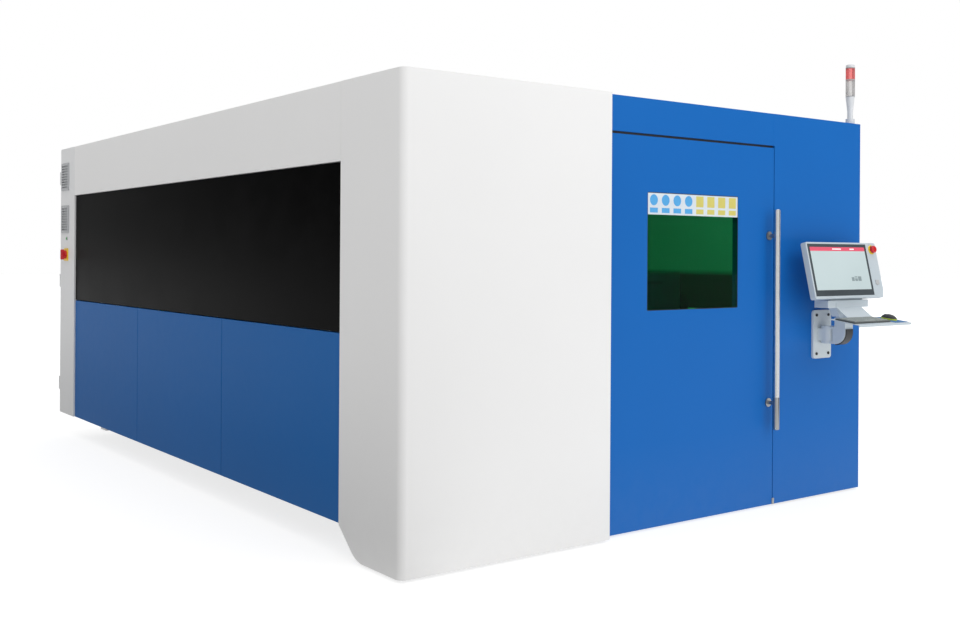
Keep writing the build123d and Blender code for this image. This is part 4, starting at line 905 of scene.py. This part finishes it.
class CUTTER_OT_console_fittings(bpy.types.Operator):
    """Collar of the emergency stop and the cover of the port on the control strip"""

    bl_idname = "cutter.console_fittings"
    bl_label = "Fittings of the console"
    bl_options = {"REGISTER", "UNDO"}

    def execute(self, context):
        turn = console_frame()
        button = foot_of(*local_box("estop_button", turn))
        glass_low, glass_high = local_box("console_screen", turn)
        face = glass_high.z
        collar = bmesh.new()
        turned(collar, at(turn, button.x, button.y, face), STOP_COLLAR)
        piece(collar, "stop_collar", "console", ["yellow plastic"])
        port_rise, sunk = 0.075, 0.001
        middle, seat = glass_low.y + port_rise, face - sunk
        cover = bmesh.new()
        lid_half, lid_rise = (0.017, 0.013), 0.004
        slab(
            cover, turn, (button.x - lid_half[0], middle - lid_half[1], seat),
            (button.x + lid_half[0], middle + lid_half[1], face + lid_rise), 0.0022, segments=3,
        )
        tab_half, tab_foot, tab_head, tab_rise = 0.008, 0.017, 0.0125, 0.003
        slab(
            cover, turn, (button.x - tab_half, middle - tab_foot, seat),
            (button.x + tab_half, middle - tab_head, face + tab_rise), 0.0012,
        )
        piece(cover, "port_cover", "console", ["pale plastic"])
        return {"FINISHED"}


# Widths of the keys in each row, in units of a plain key
KEY_ROWS = (
    (1,) * 15,
    (1.5, *(1,) * 12, 1.5),
    (1.75, *(1,) * 11, 2.25),
    (2.25, *(1,) * 10, 2.75),
    (1.25, 1.25, 1.25, 6.25, 1.25, 1.25, 1.25, 1.25),
)


class CUTTER_OT_keyboard(bpy.types.Operator):
    """Keyboard with tapered keycaps in place of its plain solid"""

    bl_idname = "cutter.keyboard"
    bl_label = "Keyboard"
    bl_options = {"REGISTER", "UNDO"}

    def execute(self, context):
        turn = tray_frame()
        low, high = local_box("keyboard", turn)
        margin_x, margin_y, gap, sunk = 0.011, 0.010, 0.0030, 0.001
        deck_height, deck_edge = 0.009, 0.004
        deck = low.z + deck_height
        board = bmesh.new()
        slab(board, turn, low, (high.x, high.y, deck), deck_edge, segments=3)
        unit = (high.x - low.x - 2 * margin_x) / sum(KEY_ROWS[0])
        pitch = (high.y - low.y - 2 * margin_y) / len(KEY_ROWS)
        for row, widths in enumerate(KEY_ROWS):
            rear = high.y - margin_y - row * pitch
            left = low.x + margin_x
            for width in widths:
                right = left + width * unit
                near_corner = (left + gap / 2, rear - pitch + gap / 2, deck - sunk)
                far_corner = (right - gap / 2, rear - gap / 2, high.z)
                self.keycap(board, turn, near_corner, far_corner)
                left = right
        made = piece(board, "keyboard_top", "console", ["key deck", "keycap"])
        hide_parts("keyboard")
        return {"FINISHED"}

    def keycap(self, board, turn, low, high):
        """One keycap: a tapered block whose top is a little smaller than its foot."""
        taper, edge = 0.86, 0.0008
        before = set(board.faces)
        corners = block(board, turn, low, high)
        back = turn.inverted()
        upper = [corner for corner in corners if (back @ corner.co).z > (low[2] + high[2]) / 2]
        centre = sum((corner.co for corner in upper), Vector()) / len(upper)
        for corner in upper:
            corner.co = centre + (corner.co - centre) * taper
        round_edges(board, corners, edge, 1)
        paint_new(board, before, 1)


# Radius and height of the mouse wheel
MOUSE_WHEEL = (
    (0.0, -0.004), (0.0085, -0.004), (0.0105, -0.0022), (0.0105, 0.0022), (0.0085, 0.004), (0.0, 0.004),
)


class CUTTER_OT_mouse(bpy.types.Operator):
    """Mouse with a bright rim and a wheel, on its mat"""

    bl_idname = "cutter.mouse"
    bl_label = "Mouse and mat"
    bl_options = {"REGISTER", "UNDO"}

    def execute(self, context):
        turn = tray_frame()
        low, high = local_box("mouse", turn)
        self.add_shell(turn, low, high)
        self.add_mat(turn, low.z)
        return {"FINISHED"}

    def add_shell(self, turn, low, high):
        """Half of a flattened ball that pulls in towards its foot."""
        rim_share, pull, foot_gap = 0.30, 0.10, 0.0002
        wheel_forward, wheel_rise = 0.24, 0.60
        size, middle = high - low, (low + high) / 2
        shell = bmesh.new()
        seat = at(turn, middle.x, middle.y, low.z)
        bmesh.ops.create_uvsphere(
            shell, u_segments=48, v_segments=28, radius=1.0,
            matrix=seat @ Matrix.Diagonal((size.x / 2, size.y / 2, size.z, 1.0)),
        )
        bmesh.ops.bisect_plane(
            shell, geom=shell.verts[:] + shell.edges[:] + shell.faces[:],
            plane_co=at(seat, 0, 0, foot_gap).translation, plane_no=turn.col[2].to_3d(), clear_inner=True,
        )
        bmesh.ops.holes_fill(shell, edges=[edge for edge in shell.edges if edge.is_boundary])
        back = turn.inverted()
        for vertex in shell.verts:
            here = back @ vertex.co
            swell = 1.0 - pull * (1.0 - (here.z - low.z) / size.z) ** 3
            x, y = middle.x + (here.x - middle.x) * swell, middle.y + (here.y - middle.y) * swell
            vertex.co = turn @ Vector((x, y, here.z))
        for face in shell.faces:
            height = (back @ face.calc_center_median()).z - low.z
            face.material_index = 1 if height < rim_share * size.z else 0
        crown = at(seat, 0, wheel_forward * size.y, wheel_rise * size.z)
        turned(shell, crown @ Matrix.Rotation(math.pi / 2, 4, "Y"), MOUSE_WHEEL, steps=28, index=2)
        moulded("mouse rim", (0.52, 0.62, 0.06), gloss=0.3, bump=0.03)
        finishes = ["dark plastic", "mouse rim", "grey plastic"]
        made = piece(shell, "mouse_shell", "console", finishes)
        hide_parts("mouse")

    def add_mat(self, turn, level):
        """Thin mat on the tray beside the keyboard."""
        gap, edge_gap, front_gap, thickness = 0.012, 0.006, 0.014, 0.0016
        tray_low, tray_high = local_box("keyboard_tray", turn)
        board_high = local_box("keyboard", turn)[1]
        mat = bmesh.new()
        slab(
            mat, turn, (board_high.x + gap, tray_low.y + front_gap, level),
            (tray_high.x - edge_gap, board_high.y + gap, level + thickness), 0.0006,
        )
        moulded("mat cloth", (0.05, 0.16, 0.36), gloss=0.8, grain=900.0, bump=0.5)
        piece(mat, "mouse_mat", "console", ["mat cloth"])


class CUTTER_OT_vent_filters(bpy.types.Operator):
    """Filter mats behind the two grilles, and the bezel of the lamp"""

    bl_idname = "cutter.vent_filters"
    bl_label = "Filters behind the vents"
    bl_options = {"REGISTER", "UNDO"}

    def execute(self, context):
        low, high = local_box("cabinet_vents", LEFT)
        skin = -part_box("control_cabinet")[0].x
        grille_half, mat_half, border = 0.106, 0.093, 0.012
        deep, shallow, edge = 0.012, 0.0035, 0.002
        mats = bmesh.new()
        for middle in (high.y - grille_half, low.y + grille_half):
            slab(
                mats, LEFT, (low.x + border, middle - mat_half, skin - deep),
                (high.x - border, middle + mat_half, skin - shallow), edge,
            )
        piece(mats, "vent_filters", "machine", ["filter mat"])
        lamp_low, lamp_high = local_box("cabinet_lamp", LEFT)
        bore = (lamp_high.x - lamp_low.x) / 2 + 0.0001
        outline = [
            (bore, 0.0), (bore, 0.0045), (bore + 0.0011, 0.0052), (bore + 0.0027, 0.0044),
            (bore + 0.0035, 0.0),
        ]
        bezel = bmesh.new()
        turned(bezel, at(LEFT, *foot_of(lamp_low, lamp_high)), outline, steps=40)
        piece(bezel, "lamp_bezel", "machine", ["grey plastic"])
        return {"FINISHED"}


class CUTTER_OT_light_lenses(bpy.types.Operator):
    """Fluted lenses of the tower light in place of their plain solids, and the rings between them"""

    bl_idname = "cutter.light_lenses"
    bl_label = "Lenses of the tower light"
    bl_options = {"REGISTER", "UNDO"}

    def execute(self, context):
        self.add_lens("tower_light_clear_lens", "clear_lens_fluted", "clear lens", "clear_lens")
        self.add_lens("tower_light_red_lens", "red_lens_fluted", "red lens", "red_lens")
        self.add_rings()
        return {"FINISHED"}

    def add_lens(self, node, name, material, slot):
        """Thin fluted wall around a pale core."""
        flutes, flute_depth, wall, shy = 40, 0.0009, 0.0022, 0.0002
        low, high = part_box(node)
        centre, height = foot_of(low, high), high.z - low.z
        lens = bmesh.new()
        ring = bmesh.ops.create_circle(
            lens, cap_ends=True, segments=2 * flutes, radius=(high.x - low.x) / 2 - shy,
            matrix=Matrix.Translation(centre),
        )["verts"]
        for vertex in ring[1::2]:
            vertex.co -= (vertex.co - centre).normalized() * flute_depth
        raised = bmesh.ops.extrude_face_region(lens, geom=lens.faces[:])["geom"]
        upper = [item for item in raised if isinstance(item, bmesh.types.BMVert)]
        bmesh.ops.translate(lens, verts=upper, vec=(0, 0, height))
        bmesh.ops.recalc_face_normals(lens, faces=lens.faces)
        caps = [face for face in lens.faces if abs(face.normal.z) > 0.9]
        bmesh.ops.delete(lens, geom=caps, context="FACES_ONLY")
        bmesh.ops.solidify(lens, geom=lens.faces[:], thickness=wall)
        core = [(0.0, 0.002), (0.009, 0.002), (0.010, 0.004), (0.010, height - 0.004), (0.0, height - 0.003)]
        turned(lens, Matrix.Translation(centre), core, steps=24, index=1)
        made = piece(lens, name, "machine", [material, "light core"], smooth=False)
        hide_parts(node)

    def add_rings(self):
        """Ring at each joint of the light."""
        low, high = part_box("tower_light_base")
        cap_low, cap_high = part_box("tower_light_cap")
        centre = foot_of(low, high)
        radius = cap_high.x - centre.x
        inner, outer = radius - 0.001, radius + 0.0004
        outline = [(inner, -0.003), (outer, -0.0024), (outer, 0.0024), (inner, 0.003)]
        rings = bmesh.new()
        for level in (high.z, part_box("tower_light_red_lens")[0].z, cap_low.z):
            turned(rings, Matrix.Translation((centre.x, centre.y, level)), outline)
        piece(rings, "light_rings", "machine", ["grey plastic"])


# Radius and height of a foot's washer
FOOT_WASHER = ((0.020, 0.0), (0.041, 0.0), (0.042, 0.001), (0.042, 0.004), (0.041, 0.005), (0.020, 0.005))


class CUTTER_OT_foot_nuts(bpy.types.Operator):
    """Lock nuts and washers on the stems of the corner feet"""

    bl_idname = "cutter.foot_nuts"
    bl_label = "Nuts of the feet"
    bl_options = {"REGISTER", "UNDO"}

    def execute(self, context):
        spacing = mounts["floor_anchors"]["dims"]
        stem_offset, plate_top, nut_radius, edge = 0.095, 0.016, 0.036, 0.0015
        half_x = spacing["spacing_x_mm"] / 2000 + stem_offset
        half_y = spacing["spacing_y_mm"] / 2000
        nuts = bmesh.new()
        for x in (-half_x, half_x):
            for y in (-half_y, half_y):
                stem = Matrix.Translation((x, y, plate_top))
                turned(nuts, stem, FOOT_WASHER, steps=40)
                for foot, top in ((0.005, 0.029), (0.098, 0.118)):
                    hex_block(nuts, stem, nut_radius, foot, top, edge)
        piece(nuts, "foot_nuts", "machine", ["ground steel"])
        return {"FINISHED"}


# Radius and height of the round insert of a cabinet lock
LOCK_INSERT = ((0.0, 0.0004), (0.0105, 0.0004), (0.0112, 0.0008), (0.0118, -0.0004))


class CUTTER_OT_rear_fixings(bpy.types.Operator):
    """Screws of the rear covers and the inserts of the cabinet locks"""

    bl_idname = "cutter.rear_fixings"
    bl_label = "Fixings of the rear"
    bl_options = {"REGISTER", "UNDO"}

    def execute(self, context):
        self.add_screws()
        self.add_lock("control_cabinet_door", "control_door", 1)
        self.add_lock("laser_cabinet_door", "laser_door", -1)
        return {"FINISHED"}

    def add_screws(self):
        """Rows of screws on the two rear panels and a circle of them on the dust outlet's flange."""
        inset, columns = 0.03, 5
        circle_radius, circle_count, flange_rise = 0.121, 6, 0.003
        low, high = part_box("rear_lower_panel")
        upper_low, upper_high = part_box("rear_upper_panel")
        step = (high.x - low.x - 2 * inset) / (columns - 1)
        screws = bmesh.new()
        for count in range(columns):
            x = low.x + inset + count * step
            for z in (low.z + inset, high.z - inset, upper_low.z + inset, upper_high.z - inset):
                socket_screw(screws, facing(REARWARD, UPWARD, (x, high.y, z)), 0.007, 0.004)
        spigot_low, spigot_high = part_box("dust_spigot")
        middle = (spigot_low + spigot_high) / 2
        for count in range(circle_count):
            angle = FULL_TURN * count / circle_count
            x, z = middle.x + circle_radius * math.cos(angle), middle.z + circle_radius * math.sin(angle)
            socket_screw(screws, facing(REARWARD, UPWARD, (x, high.y + flange_rise, z)), 0.006, 0.0035)
        piece(screws, "rear_screws", "machine", ["black oxide"])

    def add_lock(self, node, body, side):
        """Lock insert near the free edge of a cabinet door."""
        edge_gap, height, door_rise = 0.040, 1.150, 0.006
        slot_half, slot_rise = (0.0022, 0.0075), 0.0014
        low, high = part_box(node)
        free_edge = high.x if side > 0 else low.x
        place = (free_edge - side * edge_gap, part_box("rear_lower_panel")[1].y + door_rise, height)
        turn = facing(REARWARD, UPWARD, place)
        lock = bmesh.new()
        turned(lock, turn, LOCK_INSERT, steps=36)
        slab(lock, turn, (-slot_half[0], -slot_half[1], 0.0), (*slot_half, slot_rise), 0.0006, index=1)
        piece(lock, f"{body}_lock", body, ["black oxide", "ground steel"])


class CUTTER_OT_work_lamp(bpy.types.Operator):
    """Light bar under the front roof rail that lights the cutting space"""

    bl_idname = "cutter.work_lamp"
    bl_label = "Work lamp"
    bl_options = {"REGISTER", "UNDO"}

    def execute(self, context):
        behind_rail, depth, drop, roof_gap = 0.080, 0.060, 0.050, 0.004
        border, rim, sunk, proud = 0.03, 0.006, 0.002, 0.003
        low, high = local_box("front_header", UPRIGHT)
        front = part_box("door_rail")[1].y + behind_rail
        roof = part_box("roof_panels")[0].z
        rear, foot, head = front + depth, roof - drop, roof - roof_gap
        bar = bmesh.new()
        slab(bar, UPRIGHT, (low.x, front, foot), (high.x, rear, head), 0.004)
        slab(
            bar, UPRIGHT, (low.x + border, rear - sunk, foot + rim),
            (high.x - border, rear + proud, head - rim), 0.0012, index=1,
        )
        glowing("lamp glow", (0.95, 0.98, 1.0), 64.0)
        piece(bar, "work_lamp", "machine", ["pale plastic", "lamp glow"])
        return {"FINISHED"}


# Radius and height of the nozzle and of one ring of the cutting head, and the rings' heights over the nozzle
NOZZLE = (
    (0.0012, 0.0002), (0.0046, 0.0), (0.0072, 0.0018), (0.0142, 0.0120),
    (0.0146, 0.0150), (0.0160, 0.0158), (0.0160, 0.0215), (0.0150, 0.0220),
)
HEAD_RING = ((0.0355, 0.0), (0.0375, 0.0006), (0.0375, 0.0074), (0.0355, 0.008))
HEAD_RING_LEVELS = (0.307, 0.345, 0.398)


class CUTTER_OT_nozzle(bpy.types.Operator):
    """Copper nozzle and the rings of the cutting head"""

    bl_idname = "cutter.nozzle"
    bl_label = "Nozzle of the cutting head"
    bl_options = {"REGISTER", "UNDO"}

    def execute(self, context):
        axis = Matrix.Translation(foot_of(*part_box("cutting_head")))
        tip = bmesh.new()
        turned(tip, axis, NOZZLE)
        for level in HEAD_RING_LEVELS:
            turned(tip, at(axis, 0, 0, level), HEAD_RING, index=1)
        piece(tip, "nozzle_tip", "head", ["nozzle copper", "dark plastic"])
        return {"FINISHED"}


# Dark screens of the studio: direction, and the cosines between which each one fades in
SCREENS = (((-0.64, 0.77, 0.0), 0.80, 0.96), ((0.75, -0.66, 0.0), 0.78, 0.95))


class CUTTER_OT_stage(bpy.types.Operator):
    """Camera at the picture's view, pale floor and soft studio light"""

    bl_idname = "cutter.stage"
    bl_label = "Stage"
    bl_options = {"REGISTER", "UNDO"}

    def execute(self, context):
        scene, stage = context.scene, settings().stage
        self.add_camera(scene, stage)
        self.add_floor(scene, stage)
        self.add_sky(scene, stage)
        self.add_panel(scene, "overhead_panel", stage.overhead, (0.0, -0.5, 7.0), (0, 0, -1), (9.0, 11.0))
        self.add_panel(scene, "front_panel", stage.front, (1.0, -7.5, 4.6), (-0.05, 1.0, -0.42), (7.0, 3.0))
        scene.view_settings.view_transform = "Standard"
        scene.view_settings.look = "None"
        return {"FINISHED"}

    def add_camera(self, scene, stage):
        """Level camera with a vertical shift."""
        data = bpy.data.cameras.new("picture_camera")
        data.lens = stage.lens
        data.sensor_width = 36.0
        data.shift_y = stage.shift
        data.clip_end = 200.0
        camera = bpy.data.objects.new("picture_camera", data)
        turn = Matrix.Rotation(stage.camera_yaw, 4, "Z") @ Matrix.Rotation(math.pi / 2, 4, "X")
        camera.matrix_world = (
            Matrix.Translation(stage.camera_place) @ turn @ Matrix.Rotation(stage.camera_roll, 4, "Z")
        )
        scene.collection.objects.link(camera)
        scene.camera = camera

    def add_floor(self, scene, stage):
        """Wide plain floor."""
        mesh = bmesh.new()
        bmesh.ops.create_grid(mesh, x_segments=1, y_segments=1, size=60.0)
        data = bpy.data.meshes.new("floor")
        mesh.to_mesh(data)
        mesh.free()
        data.materials.append(self.floor_paint(stage))
        floor = bpy.data.objects.new("floor", data)
        scene.collection.objects.link(floor)

    def floor_paint(self, stage):
        """Pale paint with a light of its own, which is off under the machine.

        A strip of floor along the left side lights the machine less than the camera sees it shine.
        """
        material, shader = principled(
            "floor paint", roughness=0.85, specular_ior_level=0.05, emission_strength=stage.floor_glow
        )
        tree = material.node_tree
        place = object_place(tree)
        split = parts_of(tree, place)
        across = split["X"]
        far = ramp_between(tree, vector_node(tree, "LENGTH", place), 5.0, 14.0)
        glow = blend_colours(tree, far, WHITE, (1.25, 1.25, 1.25, 1.0))
        beside = ramp_between(tree, math_node(tree, "ABSOLUTE", across), 0.7, 1.1)
        beyond = ramp_between(tree, math_node(tree, "ABSOLUTE", split["Y"]), 1.5, 2.0)
        clear = math_node(tree, "MAXIMUM", beside, beyond)
        dim, full = 0.15, 0.92
        inward = ramp_between(tree, across, -1.9, -1.4, dim, full)
        outward = ramp_between(tree, across, -5.0, -2.9, full, dim)
        lighting = math_node(tree, "MAXIMUM", inward, outward)
        seen = tree.nodes.new("ShaderNodeLightPath").outputs["Is Camera Ray"]
        share = math_node(tree, "MULTIPLY", clear, math_node(tree, "MAXIMUM", lighting, seen))
        tree.links.new(vector_node(tree, "SCALE", glow, share), shader.inputs["Emission Color"])
        clouds = noise(tree, place, 0.6, 2.0)
        painted = blend_colours(tree, clouds, solid(stage.floor), solid(toned(stage.floor, 0.985)))
        tree.links.new(painted, shader.inputs["Base Color"])
        return material

    def add_sky(self, scene, stage):
        """White surroundings, dimmer on the left, with a dark screen at two corners of the studio."""
        left_light, screen_light = (0.62, 0.62, 0.62, 1.0), (0.02, 0.02, 0.022, 1.0)
        world = bpy.data.worlds.new("studio")
        world.use_nodes = True
        scene.world = world
        tree = world.node_tree
        background = tree.nodes["Background"]
        background.inputs["Strength"].default_value = stage.sky
        direction = tree.nodes.new("ShaderNodeTexCoord").outputs["Generated"]
        side = ramp_between(tree, parts_of(tree, direction)["X"], -0.85, 0.15)
        colour = blend_colours(tree, side, left_light, WHITE)
        for screen, start, end in SCREENS:
            near = vector_node(tree, "DOT_PRODUCT", direction, screen)
            shadow = ramp_between(tree, near, start, end)
            colour = blend_colours(tree, shadow, colour, screen_light)
        seen = tree.nodes.new("ShaderNodeLightPath").outputs["Is Camera Ray"]
        tree.links.new(blend_colours(tree, seen, colour, WHITE), background.inputs["Color"])

    def add_panel(self, scene, name, power, place, direction, size):
        """Large rectangular light."""
        data = bpy.data.lights.new(name, "AREA")
        data.shape = "RECTANGLE"
        data.size, data.size_y = size
        data.energy = power
        light = bpy.data.objects.new(name, data)
        light.rotation_euler = Vector(direction).to_track_quat("-Z", "Y").to_euler()
        light.location = place
        scene.collection.objects.link(light)


OPERATORS = (
    CUTTER_OT_finishes,
    CUTTER_OT_window_strip,
    CUTTER_OT_header_seal,
    CUTTER_OT_handle_sleeve,
    CUTTER_OT_bracket_screws,
    CUTTER_OT_display,
    CUTTER_OT_console_fittings,
    CUTTER_OT_keyboard,
    CUTTER_OT_mouse,
    CUTTER_OT_vent_filters,
    CUTTER_OT_light_lenses,
    CUTTER_OT_foot_nuts,
    CUTTER_OT_rear_fixings,
    CUTTER_OT_work_lamp,
    CUTTER_OT_nozzle,
    CUTTER_OT_stage,
)


class CUTTER_PT_sidebar(bpy.types.Panel):
    """Settings and building steps of the machine"""

    bl_idname = "CUTTER_PT_sidebar"
    bl_label = "Laser cutter"
    bl_space_type = "VIEW_3D"
    bl_region_type = "UI"
    bl_category = "Laser cutter"

    def draw(self, context):
        for group in (settings().finishes, settings().door, settings().console, settings().stage):
            box = self.layout.box()
            for name in group.__annotations__:
                box.prop(group, name)
        for operator in OPERATORS:
            self.layout.operator(operator.bl_idname)


CLASSES = (
    CutterFinishes, CutterDoor, CutterConsole, CutterStage, CutterSettings, *OPERATORS, CUTTER_PT_sidebar,
)


def register():
    """Register the classes and their settings."""
    for entry in CLASSES:
        bpy.utils.register_class(entry)
    bpy.types.Scene.laser_cutter = PointerProperty(type=CutterSettings)


def unregister():
    """Take the settings and the classes away again."""
    del bpy.types.Scene.laser_cutter
    for entry in reversed(CLASSES):
        bpy.utils.unregister_class(entry)


def main():
    """Build all looks in order."""
    register()
    for operator in OPERATORS:
        group, name = operator.bl_idname.split(".")
        getattr(getattr(bpy.ops, group), name)()


if __name__ == "__main__":
    main()
